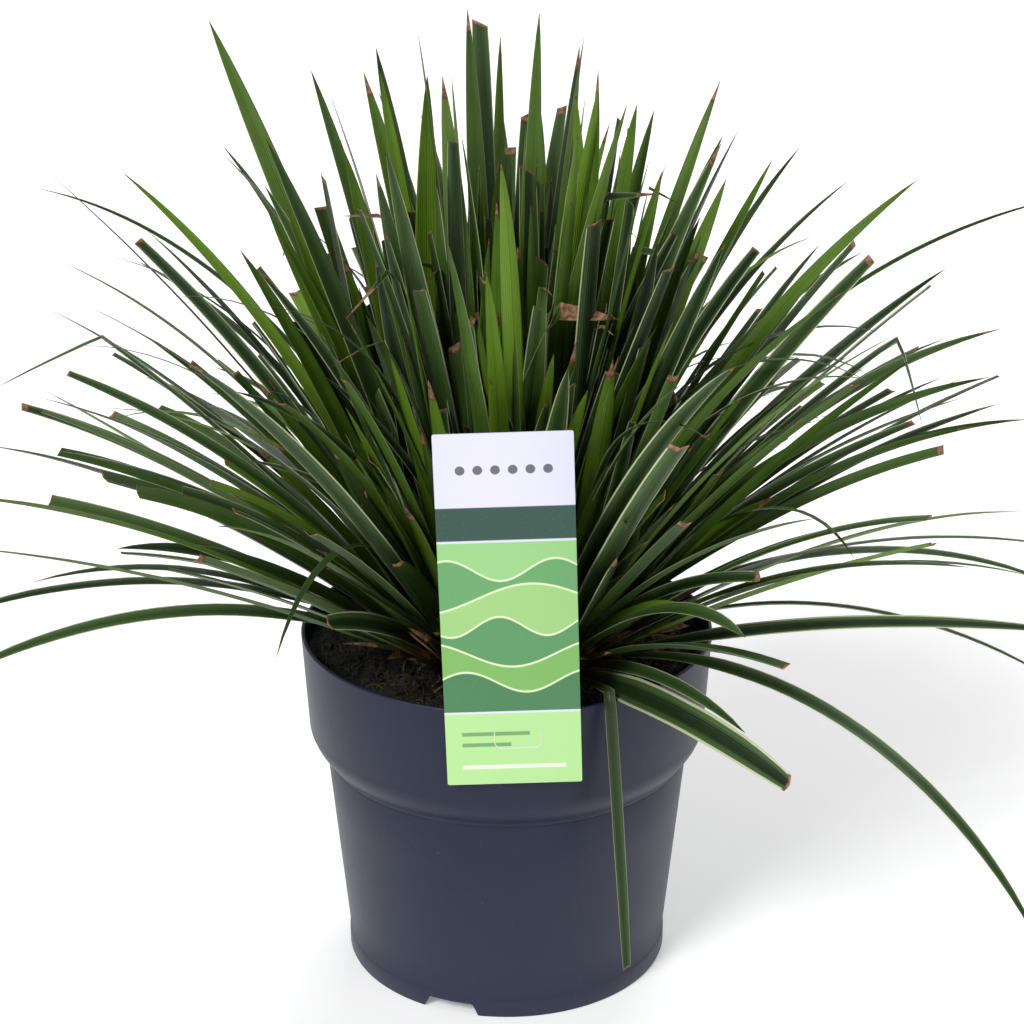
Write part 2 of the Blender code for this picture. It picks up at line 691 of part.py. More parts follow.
def skirt_leaves():
    """The long, trimmed and hanging leaves that give the clump its side outlines."""
    def leaf(azimuth, *shape, inset=0.5, root_azimuth=None, **more):
        start = azimuth if root_azimuth is None else root_azimuth
        return reaching(skirt_root(inset, math.radians(start)), azimuth, *shape, **more)

    # This leaf lies out over the rim, is folded there, and hangs beside the pot
    hanging = Blade(skirt_root(0.6, math.radians(-60)), math.radians(-66), math.radians(74), math.radians(76),
                    225 * MM, 9 * MM, cut=0.84, crease=(0.28, math.radians(95)), spans=6)
    return [
        # Right side, from the top down
        leaf(14, 266, 350, 66, 5, inset=0.3, root_azimuth=8),
        leaf(8, 193, 318, 18, 11, inset=0.3, root_azimuth=4, cut=0.8),
        leaf(-3, 206, 330, 22, 10, inset=0.45, root_azimuth=-4, crease=(0.82, 1.9)),
        leaf(18, 168, 331, 16, 9, inset=0.2, root_azimuth=12, cut=0.85),
        leaf(-13, 180, 276, 28, 9, inset=0.6, root_azimuth=-8, cut=0.9),
        leaf(-8, 262, 214, 50, 10, inset=0.7, root_azimuth=-6),
        leaf(6, 268, 168, 62, 9, inset=0.8, root_azimuth=4),
        leaf(-19, 258, 168, 64, 8, inset=0.9, root_azimuth=-12),
        leaf(-27, 262, 212, 22, 10, inset=0.95, root_azimuth=-34),
        # Front right
        leaf(-39, 280, 96, 86, 9, inset=0.9, root_azimuth=-41),
        leaf(-52, 160, 170, 46, 9, inset=0.95, root_azimuth=-50),
        leaf(-59, 214, 176, 20, 11, inset=0.98, root_azimuth=-55, cut=0.9),
        leaf(-46, 150, 232, 40, 10, inset=0.6, root_azimuth=-45, cut=0.8),
        hanging,
        # Left side, from the top down
        leaf(149, 268, 336, 72, 5, inset=0.45, root_azimuth=146),
        leaf(162, 224, 362, 20, 5, inset=0.2, root_azimuth=166),
        leaf(176, 163, 343, 22, 10, inset=0.25, root_azimuth=178, cut=0.85),
        leaf(186, 218, 340, 18, 9, inset=0.4, root_azimuth=186, crease=(0.8, 1.1)),
        leaf(180, 175, 294, 28, 11, inset=0.5, root_azimuth=180, cut=0.85),
        leaf(191, 192, 297, 32, 10, inset=0.45, root_azimuth=190, cut=0.9),
        leaf(184, 207, 279, 40, 8, inset=0.6, root_azimuth=184),
        leaf(195, 202, 268, 40, 8, inset=0.65, root_azimuth=192),
        leaf(194, 274, 186, 56, 9, inset=0.8, root_azimuth=190),
        leaf(199, 176, 222, 30, 10, inset=0.9, root_azimuth=194, cut=0.9),
        # Front left
        leaf(206, 264, 186, 58, 9, inset=0.9, root_azimuth=210),
        leaf(236, 132, 212, 32, 11, inset=0.9, root_azimuth=232, cut=0.85),
        leaf(228, 160, 316, 54, 7, inset=0.25, root_azimuth=225),
        leaf(219, 140, 276, 62, 6, inset=0.4, root_azimuth=216),
        # Behind
        leaf(92, 184, 262, 56, 9, inset=0.7, root_azimuth=90),
        leaf(50, 238, 220, 60, 9, inset=0.8, root_azimuth=48),
        leaf(130, 238, 230, 50, 9, inset=0.7, root_azimuth=132),
    ]


def make_heart():
    draw = random.Random(HEART_SEED)
    levels = crown_levels(lambda z: CULM_BORE, lambda z: heart_cone(z) - CROWN_GAP / 2, HEART_CROWN_RISE, 5 * MM)
    for part in range(HEART_PARTS):
        low = HEART_TURN + TAU * part / HEART_PARTS
        high = low + TAU / HEART_PARTS
        blades = named_leaves(low, high, heart_leaves())
        grown(blades, draw, heart_blade, [HEART_BLADES], low, high, SOIL_TOP + HEART_CROWN_RISE - 6 * MM, in_heart)
        crown = add_crown(f"heart_shoots_{part + 1}", levels, low, high, "young_leaf")
        fuse(crown, blades)


def make_skirt():
    draw = random.Random(SKIRT_SEED)
    levels = crown_levels(lambda z: heart_cone(z) + CROWN_GAP / 2, lambda z: PIT_RADIUS, SKIRT_CROWN_RISE, 7 * MM)
    for part in range(SKIRT_PARTS):
        low = SKIRT_TURN + TAU * part / SKIRT_PARTS
        high = low + TAU / SKIRT_PARTS
        blades = named_leaves(low, high, skirt_leaves())
        grown(blades, draw, skirt_blade, [BLADES_IN_TIER] * SKIRT_TIERS, low, high,
              SOIL_TOP + SKIRT_CROWN_RISE - 2 * MM, in_skirt)
        crown = add_crown(f"skirt_shoots_{part + 1}", levels, low, high, "mature_leaf")
        fuse(crown, blades)


# The flower spike

def spike_radius(share):
    """The stem's radius, or that of the spike with its rows of scales."""
    along = (share - (1 - SPIKE_SHARE)) / SPIKE_SHARE
    if along <= 0:
        return CULM_RADIUS
    swell = math.sin(math.pi * min(1, 0.12 + 0.88 * along)) ** 0.6
    return CULM_RADIUS * 0.6 + (SPIKE_RADIUS - CULM_RADIUS * 0.6) * swell * (0.82 + 0.18 * math.cos(9 * TAU * along))


def make_spike():
    sides = 6
    stem_stations, spike_stations = 12, 18
    joint = 1 - SPIKE_SHARE
    shares = [joint * i / stem_stations for i in range(stem_stations)]
    shares += [joint + SPIKE_SHARE * i / spike_stations for i in range(spike_stations)]
    points, faces = [], []
    for share in shares:
        centre = spike_axis(share)
        along = (spike_axis(share + 0.01) - centre).normalized()
        across = along.cross(Vector((0, 1, 0))).normalized()
        other = along.cross(across)
        for i in range(sides):
            turn = TAU * i / sides
            points.append(centre + (across * math.cos(turn) + other * math.sin(turn)) * spike_radius(share))
    points.append(spike_axis(1))
    for ring in range(len(shares) - 1):
        a = ring * sides
        for i in range(sides):
            j = (i + 1) % sides
            faces.append((a + i, a + j, a + j + sides, a + i + sides))
    last = (len(shares) - 1) * sides
    faces.append(tuple(reversed(range(sides))))
    faces += [(last + i, last + (i + 1) % sides, len(points) - 1) for i in range(sides)]
    spike = add_object("flower_spike", points, faces, "dry_spike")
    shade_smooth(spike)


def main():
    clear_scene()
    make_pot()
    make_soil()
    make_label()
    make_heart()
    make_skirt()
    make_spike()


main()
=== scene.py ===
"""The look of a potted variegated sedge: finely swept leaves, mossy peat, a satin nursery pot and a plain
patterned plant label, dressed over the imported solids.

Metres, +Z up. The origin is the centre of the pot's foot.
"""

import math
import random

import bmesh
import bpy
from mathutils import Matrix, Vector
from mathutils import noise
from mathutils.bvhtree import BVHTree


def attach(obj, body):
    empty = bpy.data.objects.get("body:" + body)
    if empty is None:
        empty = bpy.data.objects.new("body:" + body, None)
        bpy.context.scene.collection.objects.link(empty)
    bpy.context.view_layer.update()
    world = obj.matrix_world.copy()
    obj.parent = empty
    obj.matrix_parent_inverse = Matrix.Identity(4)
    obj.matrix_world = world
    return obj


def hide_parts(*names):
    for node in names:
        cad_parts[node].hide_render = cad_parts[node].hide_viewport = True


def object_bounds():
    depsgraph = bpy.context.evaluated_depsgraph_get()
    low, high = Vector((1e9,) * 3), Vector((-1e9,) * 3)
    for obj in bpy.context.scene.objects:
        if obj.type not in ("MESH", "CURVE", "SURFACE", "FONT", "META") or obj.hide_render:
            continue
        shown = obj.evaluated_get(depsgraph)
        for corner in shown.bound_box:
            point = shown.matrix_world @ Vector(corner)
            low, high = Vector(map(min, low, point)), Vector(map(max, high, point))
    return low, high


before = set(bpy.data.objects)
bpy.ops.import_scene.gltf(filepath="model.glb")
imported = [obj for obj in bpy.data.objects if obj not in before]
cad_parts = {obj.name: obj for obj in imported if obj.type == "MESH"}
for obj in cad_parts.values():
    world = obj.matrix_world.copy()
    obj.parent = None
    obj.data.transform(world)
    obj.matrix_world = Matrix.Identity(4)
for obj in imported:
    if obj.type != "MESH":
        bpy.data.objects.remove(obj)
cad_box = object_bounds()

MM = 0.001
TAU = 2 * math.pi

# Sizes that repeat those of the solids
POT_HEIGHT = 164 * MM
RIM_RADIUS = 95 * MM
COLLAR_FOOT_RADIUS = 92.4 * MM
COLLAR_HEIGHT = 44 * MM
SHOULDER_HEIGHT = 15 * MM
BODY_TOP_RADIUS = 84.6 * MM
BODY_FOOT_RADIUS = 75.4 * MM
FOOT_BAND_RADIUS = 75.9 * MM
FOOT_BAND_HEIGHT = 9 * MM
WALL = 1.8 * MM
FLOOR_UNDERSIDE = 7 * MM
FLOOR_THICKNESS = 2 * MM
FOOT_RING_WIDTH = 4 * MM
NOTCH_AZIMUTHS = (-110, 10, 130)
NOTCH_WIDTH = 22 * MM
NOTCH_HEIGHT = 6 * MM
DRAIN_HOLES = 6
DRAIN_RADIUS = 5 * MM
DRAIN_CIRCLE_RADIUS = 52 * MM
DRAIN_TURN = math.radians(22)
SOIL_RISE = 5 * MM
SOIL_GAP = 0.4 * MM
SOIL_TOP = POT_HEIGHT - 11 * MM
PIT_RADIUS = 50 * MM
PIT_DEPTH = 14 * MM
LABEL_WIDTH = 58 * MM
LABEL_HEIGHT = 160 * MM
LABEL_THICKNESS = 0.8 * MM
LABEL_BELOW_RIM = 33 * MM
LABEL_TILT = math.radians(-1.9)
LABEL_SHIFT = 2.5 * MM
LABEL_BACK = RIM_RADIUS + 0.5 * MM
HOOK_WIDTH = 18 * MM
HOOK_DROP = 9 * MM
HOOK_RISE = 0.9 * MM
HEART_SEED = 43
SKIRT_SEED = 42
HEART_PARTS = 3
HEART_TURN = math.radians(-30)
HEART_RADIUS = 26 * MM
HEART_SLOPE = 0.42
HEART_CROWN_RISE = 22 * MM
SKIRT_PARTS = 8
SKIRT_TURN = math.radians(22.5)
SKIRT_CROWN_RISE = 8 * MM
CROWN_GAP = 0.4 * MM
PART_MARGIN = 0.5 * MM
HEART_SPANS = 4
SKIRT_SPANS = 5
HEART_BLADES = 42
SKIRT_TIERS = 4
BLADES_IN_TIER = 5
DRAWS = 30
FILL_REACH = 235 * MM
FILL_DEPTH = 182 * MM
CULM_RADIUS = 0.8 * MM
CULM_LENGTH = 252 * MM
CULM_REACH = 37 * MM
SPIKE_SHARE = 0.13
SPIKE_RADIUS = 3.0 * MM

# The photograph's view
VIEW_DISTANCE = 1.113
VIEW_ELEVATION = math.radians(23.77)
VIEW_PITCH = math.radians(21.12)
VIEW_FOCAL_PIXELS = 2400
VIEW_PIXELS = 1024
VIEW_AXIS_PIXEL = 506.7


def polar(radius, azimuth, z):
    return Vector((radius * math.cos(azimuth), radius * math.sin(azimuth), z))


def add_object(name, data):
    data.name = name
    made = bpy.data.objects.new(name, data)
    bpy.context.scene.collection.objects.link(made)
    return made


def real_mesh(thing):
    """The mesh that an object shows, with its modifiers or its curve worked out."""
    bpy.context.view_layer.update()
    depsgraph = bpy.context.evaluated_depsgraph_get()
    return bpy.data.meshes.new_from_object(thing.evaluated_get(depsgraph), preserve_all_data_layers=True,
                                           depsgraph=depsgraph)


def settled(name, holder):
    """A new plain piece in place of an object whose mesh is still worked out."""
    mesh = real_mesh(holder)
    bpy.data.objects.remove(holder, do_unlink=True)
    return add_object(name, mesh)


def smooth(piece, angle):
    """Smooth shading that stays sharp at edges over the angle in degrees."""
    for polygon in piece.data.polygons:
        polygon.use_smooth = True
    piece.data.set_sharp_from_angle(angle=math.radians(angle))


def dress(piece, slot, *nodes, finish=None):
    """Fixes a finished piece to the one body. The slot, which would say what it stands for, is not used."""
    if finish:
        piece.data.materials.append(finish)
    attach(piece, "root")
    if nodes:
        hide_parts(*nodes)


# Nodes for shapes and finishes

class Nodes:
    """Adds nodes to a tree. A socket given as an input is linked, and any other value is set."""

    def __init__(self, tree):
        self.tree = tree

    def put(self, socket, value):
        if isinstance(value, bpy.types.NodeSocket):
            self.tree.links.new(value, socket)
        else:
            socket.default_value = value

    def add(self, kind, inputs=None, **settings):
        node = self.tree.nodes.new(kind)
        for key, value in settings.items():
            setattr(node, key, value)
        for key, value in (inputs or {}).items():
            self.put(node.inputs[key], value)
        return node

    def first(self, kind, inputs=None, **settings):
        """As add, but gives the new node's first output."""
        return self.add(kind, inputs, **settings).outputs[0]

    def calc(self, operation, *values):
        return self.first("ShaderNodeMath", dict(enumerate(values)), operation=operation)

    def times(self, value, factor):
        return self.calc("MULTIPLY", value, factor)

    def line(self, value, slope, start):
        return self.calc("MULTIPLY_ADD", value, slope, start)

    def stretched(self, vector, size):
        return self.first("ShaderNodeVectorMath", {0: vector, "Scale": size}, operation="SCALE")

    def parts(self, vector):
        return self.add("ShaderNodeSeparateXYZ", {0: vector}).outputs

    def ramp(self, value, low, high, to_low=0.0, to_high=1.0):
        """A smooth step from one value to another as the input goes from low to high."""
        ends = {"Value": value, "From Min": low, "From Max": high, "To Min": to_low, "To Max": to_high}
        return self.first("ShaderNodeMapRange", ends, interpolation_type="SMOOTHSTEP")

    def fall(self, value, low, high):
        return self.ramp(value, low, high, 1.0, 0.0)

    def window(self, value, rise, fall):
        """One between the two smooth steps, and none outside them."""
        return self.times(self.ramp(value, *rise), self.fall(value, *fall))

    def blend(self, share, first, second):
        node = self.add("ShaderNodeMix", data_type="RGBA")
        sockets = {socket.identifier: socket for socket in (*node.inputs, *node.outputs)}
        for key, value in (("Factor_Float", share), ("A_Color", first), ("B_Color", second)):
            self.put(sockets[key], (*value, 1.0) if isinstance(value, tuple) else value)
        return sockets["Result_Color"]

    def noise(self, vector, scale, detail=3.0, roughness=0.55):
        return self.add("ShaderNodeTexNoise", {"Vector": vector, "Scale": scale, "Detail": detail,
                                               "Roughness": roughness}).outputs["Fac"]


class Finish(Nodes):
    """A new material's nodes. Its patterns are placed by Object coordinates, unless they follow the piece."""

    def __init__(self, name, roughness, **constants):
        self.made = bpy.data.materials.new(name)
        self.made.use_nodes = True
        super().__init__(self.made.node_tree)
        self.shader = self.tree.nodes["Principled BSDF"].inputs
        self.shader["Roughness"].default_value = roughness
        for key, value in constants.items():
            self.shader[key.replace("_", " ")].default_value = value
        self.place = self.add("ShaderNodeTexCoord").outputs["Object"]

    def attribute(self, name):
        return self.add("ShaderNodeAttribute", attribute_name=name).outputs["Fac"]

    def ended(self, colour, rough=None, relief=None, depth=0.0):
        """Joins the colour, the roughness and a relief that deep to the shader, and gives the material."""
        self.put(self.shader["Base Color"], colour)
        if rough is not None:
            self.put(self.shader["Roughness"], rough)
        if relief is not None:
            bump = {"Height": relief, "Distance": depth, "Strength": 1.0}
            self.put(self.shader["Normal"], self.first("ShaderNodeBump", bump))
        return self.made


class Tree(Nodes):
    """Geometry nodes that take a base mesh, the named inputs and a finish, and give one geometry."""

    def __init__(self, name, **inputs):
        super().__init__(bpy.data.node_groups.new(name, "GeometryNodeTree"))
        face = self.tree.interface
        face.new_socket("Base", in_out="INPUT", socket_type="NodeSocketGeometry")
        for key, value in inputs.items():
            kind = "NodeSocketInt" if isinstance(value, int) else "NodeSocketFloat"
            face.new_socket(key, in_out="INPUT", socket_type=kind).default_value = value
        face.new_socket("Finish", in_out="INPUT", socket_type="NodeSocketMaterial")
        face.new_socket("Made", in_out="OUTPUT", socket_type="NodeSocketGeometry")
        self.given = self.add("NodeGroupInput").outputs

    def named(self, name, kind="FLOAT"):
        node = self.add("GeometryNodeInputNamedAttribute", {"Name": name}, data_type=kind)
        return node.outputs["Attribute"]

    def random(self, low, high, seed):
        inputs = {2: low, 3: high, "Seed": seed}
        return self.add("FunctionNodeRandomValue", inputs, data_type="FLOAT").outputs[1]

    def swept(self, line, ring, scale=None):
        inputs = {"Curve": line, "Profile Curve": ring, "Fill Caps": True}
        if scale is not None:
            inputs["Scale"] = scale
        return self.first("GeometryNodeCurveToMesh", inputs)

    def ended(self, made):
        """Every tree ends in real faces that carry their material."""
        real = self.first("GeometryNodeRealizeInstances", {"Geometry": made})
        painted = {"Geometry": real, "Material": self.given["Finish"]}
        self.add("NodeGroupOutput", {"Made": self.first("GeometryNodeSetMaterial", painted)})
        return self.tree


def grow(name, base, tree, **inputs):
    """The plain piece that a tree makes from a base mesh, with some of its inputs set anew."""
    holder = add_object(name + "_base", base)
    modifier = holder.modifiers.new("grow", "NODES")
    modifier.node_group = tree
    for item in tree.interface.items_tree:
        if item.name in inputs:
            modifier[item.identifier] = inputs[item.name]
    return settled(name, holder)


# Camera, floor and light

def add_camera():
    data = bpy.data.cameras.new("view")
    camera = add_object("view", data)
    camera.location = (0, -VIEW_DISTANCE * math.cos(VIEW_ELEVATION),
                       POT_HEIGHT + VIEW_DISTANCE * math.sin(VIEW_ELEVATION))
    camera.rotation_euler = (math.pi / 2 - VIEW_PITCH, 0, 0)
    data.sensor_width = 36
    data.lens = data.sensor_width * VIEW_FOCAL_PIXELS / VIEW_PIXELS
    data.shift_x = (VIEW_PIXELS / 2 - VIEW_AXIS_PIXEL) / VIEW_PIXELS
    data.clip_end = 60
    bpy.context.scene.camera = camera


def add_stage():
    size = 40
    mesh = bpy.data.meshes.new("floor")
    mesh.from_pydata([(-size, -size, 0), (size, -size, 0), (size, size, 0), (-size, size, 0)], [],
                     [(0, 1, 2, 3)])
    pale = Finish("pale_floor", 0.9, Emission_Color=(1.0, 1.0, 1.0, 1.0), Emission_Strength=0.22)
    tone = pale.blend(pale.noise(pale.place, 3.0), (0.93, 0.93, 0.94), (0.95, 0.95, 0.95))
    mesh.materials.append(pale.ended(tone))
    add_object("floor", mesh)


def add_light(name, kind, place, energy, **settings):
    """A light that is aimed at the middle of the clump."""
    data = bpy.data.lights.new(name, kind)
    data.energy = energy
    for key, value in settings.items():
        setattr(data, key, value)
    light = add_object(name, data)
    light.location = place
    light.rotation_euler = (Vector((0, 0, 0.25)) - Vector(place)).to_track_quat("-Z", "Y").to_euler()


def add_lights():
    """A bright room, a key that lights the whole floor evenly, a weak fill and a back light."""
    world = bpy.data.worlds.new("studio")
    bpy.context.scene.world = world
    world.use_nodes = True
    sky = world.node_tree.nodes["Background"].inputs
    sky["Color"].default_value = (1.0, 1.0, 1.0, 1.0)
    sky["Strength"].default_value = 0.34
    add_light("key", "SUN", (-1.3, -1.8, 2.2), 2.15, angle=math.radians(20))
    add_light("fill", "AREA", (1.9, -1.6, 1.2), 10, size=1.6)
    add_light("back", "AREA", (0.4, 1.9, 1.9), 24, size=1.4)
    bpy.context.scene.view_settings.view_transform = "Standard"


# Leaves: these rules repeat those of the solids, so that each fine leaf lies where its solid one is

class Blade:
    """One keeled leaf. It leans from its root in a direction that sweeps a little, and bends over to its tip.

    Angles are in radians, and lean is measured from the vertical. cut is the share of the full blade
    that is left where its end was trimmed, and 1 leaves it pointed. A crease turns the lean at a share
    of the length, as where a blade has folded.
    """

    def __init__(self, root, azimuth, lean, lean_tip, length, width, bend=1.0, sweep=0.0,
                 roll=0.0, cut=1.0, crease=None, spans=SKIRT_SPANS):
        self.root, self.azimuth, self.lean, self.lean_tip = root, azimuth, lean, lean_tip
        self.length, self.width, self.bend, self.sweep = length, width, bend, sweep
        self.roll, self.cut, self.crease, self.spans = roll, cut, crease, spans

    def heading(self, share):
        azimuth = self.azimuth + self.sweep * share
        lean = self.lean + (self.lean_tip - self.lean) * share**self.bend
        if self.crease and share > self.crease[0]:
            lean += self.crease[1]
        return azimuth, polar(math.sin(lean), azimuth, math.cos(lean))

    def midrib(self, spans):
        """Stations (share, point, across, upper side normal) from the root to the end."""
        steps = 40
        point = self.root.copy()
        walk = [point.copy()]
        for i in range(steps):
            _, along = self.heading((i + 0.5) / steps)
            point = point + along * (self.length / steps)
            walk.append(point.copy())
        stations = []
        for i in range(spans + 1):
            share = self.cut * i / spans
            place = share * steps
            low = min(int(place), steps - 1)
            here = walk[low].lerp(walk[low + 1], place - low)
            azimuth, along = self.heading(share)
            across = Vector((-math.sin(azimuth), math.cos(azimuth), 0))
            across = Matrix.Rotation(self.roll * min(1, 3 * share), 3, along) @ across
            stations.append((share, here, across, along.cross(across)))
        return stations

    def width_at(self, share):
        """Narrow at the sheath, widest past a third of the way, then drawn out to a fine point."""
        opening = 0.5 + 0.5 * min(1, share / 0.3)
        return self.width * opening * max(0.0, 1 - share**3) ** 0.9


def blade_mesh(blade, finer=1):
    """The plain three-sided blade, which the tests of what is clear of what use."""
    keel_share, lift_share = 0.10, 0.16
    points, faces = [], []
    stations = blade.midrib(finer * blade.spans)
    pointed = blade.cut > 0.98
    for share, here, across, upper in stations[:-1] if pointed else stations:
        width = blade.width_at(share)
        points.append(here + across * (width / 2) + upper * (width * lift_share))
        points.append(here - across * (width / 2) + upper * (width * lift_share))
        points.append(here - upper * (width * keel_share + 0.35 * MM))
    rings = len(points) // 3
    faces.append((2, 1, 0))
    for ring in range(rings - 1):
        a = 3 * ring
        for i in range(3):
            j = (i + 1) % 3
            faces.append((a + i, a + j, a + i + 3))
            faces.append((a + i + 3, a + j, a + j + 3))
    last = 3 * (rings - 1)
    if pointed:
        points.append(stations[-1][1])
        faces += [(last + i, last + (i + 1) % 3, len(points) - 1) for i in range(3)]
    else:
        faces.append((last, last + 1, last + 2))
    return points, faces


def reaching(root, azimuth, reach, height, turn, width, cut=1.0, **more):
    """A leaf whose end is at a reach and height, on an even arch that turns over by an angle in degrees.

    All lengths are in millimetres, the azimuth and turn in degrees, and the height is above the ground.
    The full blade goes on past a trimmed end on the same arch.
    """
    end = polar(reach * MM, math.radians(azimuth), height * MM)
    level = Vector((end.x - root.x, end.y - root.y, 0))
    chord = (end - root).length
    slant = math.atan2(level.length, end.z - root.z)
    half = math.radians(turn) / 2
    length = chord * half / math.sin(half)
    return Blade(root, math.atan2(level.y, level.x), slant - half, slant - half + 2 * half / cut,
                 length / cut, width * MM, cut=cut, **more)


def collar_foot_z():
    return POT_HEIGHT - COLLAR_HEIGHT


def shoulder_foot_z():
    return collar_foot_z() - SHOULDER_HEIGHT


def pot_outer_radius(z):
    """The pot's outside radius at height z."""
    if z >= collar_foot_z():
        share = (POT_HEIGHT - z) / COLLAR_HEIGHT
        return RIM_RADIUS + (COLLAR_FOOT_RADIUS - RIM_RADIUS) * share
    if z >= shoulder_foot_z():
        share = (collar_foot_z() - z) / SHOULDER_HEIGHT
        return COLLAR_FOOT_RADIUS + (BODY_TOP_RADIUS - COLLAR_FOOT_RADIUS) * share**2
    share = (shoulder_foot_z() - z) / (shoulder_foot_z() - FOOT_BAND_HEIGHT)
    return BODY_TOP_RADIUS + (BODY_FOOT_RADIUS - BODY_TOP_RADIUS) * min(share, 1)


def soil_height(x, y):
    """The peat's rough surface: it rises a little to the crown, with low lumps."""
    share = max(0.0, 1 - math.hypot(x, y) / RIM_RADIUS)
    lumps = math.sin(x / (9 * MM) + 1.3) * math.cos(y / (8 * MM)) + 0.6 * math.sin((x - y) / (5 * MM))
    return SOIL_TOP + SOIL_RISE * share + 1.1 * MM * lumps


def label_place():
    """The turn and shift that put the upright card and its hook on the rim."""
    hinge = Vector((LABEL_SHIFT, 0, POT_HEIGHT))
    return Matrix.Translation(hinge) @ Matrix.Rotation(LABEL_TILT, 4, "Y")


def heart_cone(z):
    """The radius at height z of the cone between the heart's shoots and the skirt's."""
    return HEART_RADIUS + CROWN_GAP / 2 + HEART_SLOPE * max(0.0, z - SOIL_TOP)


def clear_of_pot(point):
    margin = 1.2 * MM
    radius = math.hypot(point.x, point.y)
    if point.z > POT_HEIGHT + margin:
        return True
    if point.z < 8 * MM:
        return False
    if radius > pot_outer_radius(point.z) + margin:
        return True
    if radius > PIT_RADIUS - 2 * MM:
        above_soil = point.z > soil_height(point.x, point.y) + margin
        return above_soil and radius < RIM_RADIUS - WALL - 2 * MM
    return True


def clear_of_label(point):
    margin = 4.0 * MM
    local = label_place().inverted() @ point
    if abs(local.x) > LABEL_WIDTH / 2 + margin:
        return True
    if not -LABEL_BELOW_RIM - margin < local.z < LABEL_HEIGHT - LABEL_BELOW_RIM + margin:
        return True
    in_front = -local.y
    if in_front < RIM_RADIUS - WALL - HOOK_DROP:
        return True
    return in_front < LABEL_BACK - margin and local.z > HOOK_RISE + LABEL_THICKNESS + margin


def spike_axis(share):
    """A point on the flower stem, which bends over evenly from upright."""
    lean = 2 * math.asin(CULM_REACH / CULM_LENGTH) * share
    height = CULM_LENGTH * share * math.cos(lean * 0.5)
    return Vector((CULM_REACH * share**1.7, 0, SOIL_TOP - PIT_DEPTH + CROWN_GAP + height))


SPIKE_GUARD = [spike_axis(i / 24) for i in range(25)]


def clear_of_spike(point):
    for i, centre in enumerate(SPIKE_GUARD):
        guard = SPIKE_RADIUS + 4 * MM if i / 24 > 0.95 - SPIKE_SHARE else CULM_RADIUS + 3 * MM
        if (point - centre).length < guard:
            return False
    return True


def side_distance(point, azimuth):
    """How far a point lies to the left of the upright half plane at that azimuth."""
    return point.y * math.cos(azimuth) - point.x * math.sin(azimuth)


def in_heart(point):
    return math.hypot(point.x, point.y) < heart_cone(point.z) - 0.5 * MM and clear_of_spike(point)


def in_skirt(point):
    outside = math.hypot(point.x, point.y) > heart_cone(point.z) + 0.5 * MM
    return outside and clear_of_pot(point) and clear_of_label(point)


def fits(points, low, high, keep):
    """True if the points, and those between ring and ring, lie between two half planes and pass keep."""
    between = [a.lerp(b, share) for share in (0.25, 0.5, 0.75) for a, b in zip(points, points[3:])]
    for point in points + between:
        if side_distance(point, low) < PART_MARGIN or side_distance(point, high) > -PART_MARGIN:
            return False
        if not keep(point):
            return False
    return True


def free_part(blade, crown_top):
    """The tree of the blade's faces above the crown, where it must not cross another blade."""
    points, faces = blade_mesh(blade, 3)
    free = [face for face in faces if min(points[i].z for i in face) > crown_top]
    return BVHTree.FromPolygons(points, free) if free else None


def heart_root(share, azimuth):
    return polar(share * HEART_RADIUS, azimuth, SOIL_TOP)


def skirt_root(inset, azimuth):
    """A root in the skirt's crown: inset 0 is next to the heart, and 1 is near the crown's outer edge."""
    return polar(HEART_RADIUS + (4 + 15 * inset) * MM, azimuth, SOIL_TOP + 3 * MM * inset)


def drawn(draw, root, azimuth, spread, lean, arch, length, width, bend, sweep, roll=0.0, end=dict):
    """A leaf whose numbers are drawn in this order, each from its range.

    Its lean and arch are in degrees, its length and width in millimetres. The spread, sweep and roll are the
    most that it may turn either way, in radians. end draws its cut or its crease, last of all.
    """
    lean = math.radians(lean)
    return Blade(root, azimuth + draw.uniform(-spread, spread),
                 lean, lean + math.radians(draw.uniform(*arch)),
                 draw.uniform(*length) * MM, draw.uniform(*width) * MM,
                 draw.uniform(*bend) if isinstance(bend, tuple) else bend,
                 draw.uniform(-sweep, sweep), draw.uniform(-roll, roll) if roll else 0.0, **end())


def heart_blade(draw, low, high, _):
    """An upright young leaf or an older trimmed one, which leans as far as it stands from the axis."""
    share = 0.25 + 0.68 * math.sqrt(draw.random())
    azimuth = draw.uniform(low, high)
    lean = 20 * share + draw.uniform(-6, 4)
    trimmed = draw.random() < 0.2
    return drawn(draw, heart_root(share, azimuth), azimuth, 0.25, lean, (0, 14), (150, 275), (8, 12.5),
                 (1.2, 2.2), 0.4, 0.9,
                 lambda: {"cut": draw.uniform(0.65, 0.85) if trimmed else 1.0, "spans": HEART_SPANS})


def skirt_blade(draw, low, high, tier):
    """A leaning leaf: the farther out it grows, the lower it lies and the more it arches."""
    inset = (tier + draw.random()) / SKIRT_TIERS
    azimuth = low + (high - low) * draw.uniform(0.12, 0.88)
    lean = 20 + 34 * inset + draw.uniform(-3, 6)
    trimmed = draw.random() < 0.5
    return drawn(draw, skirt_root(inset, azimuth), azimuth, 0.1, lean, (12, 40 + 10 * inset), (180, 275),
                 (7.5, 11.5), (1.1, 2.0), 0.3, 0.6,
                 lambda: {"cut": draw.uniform(0.6, 0.88) if trimmed else 1.0})


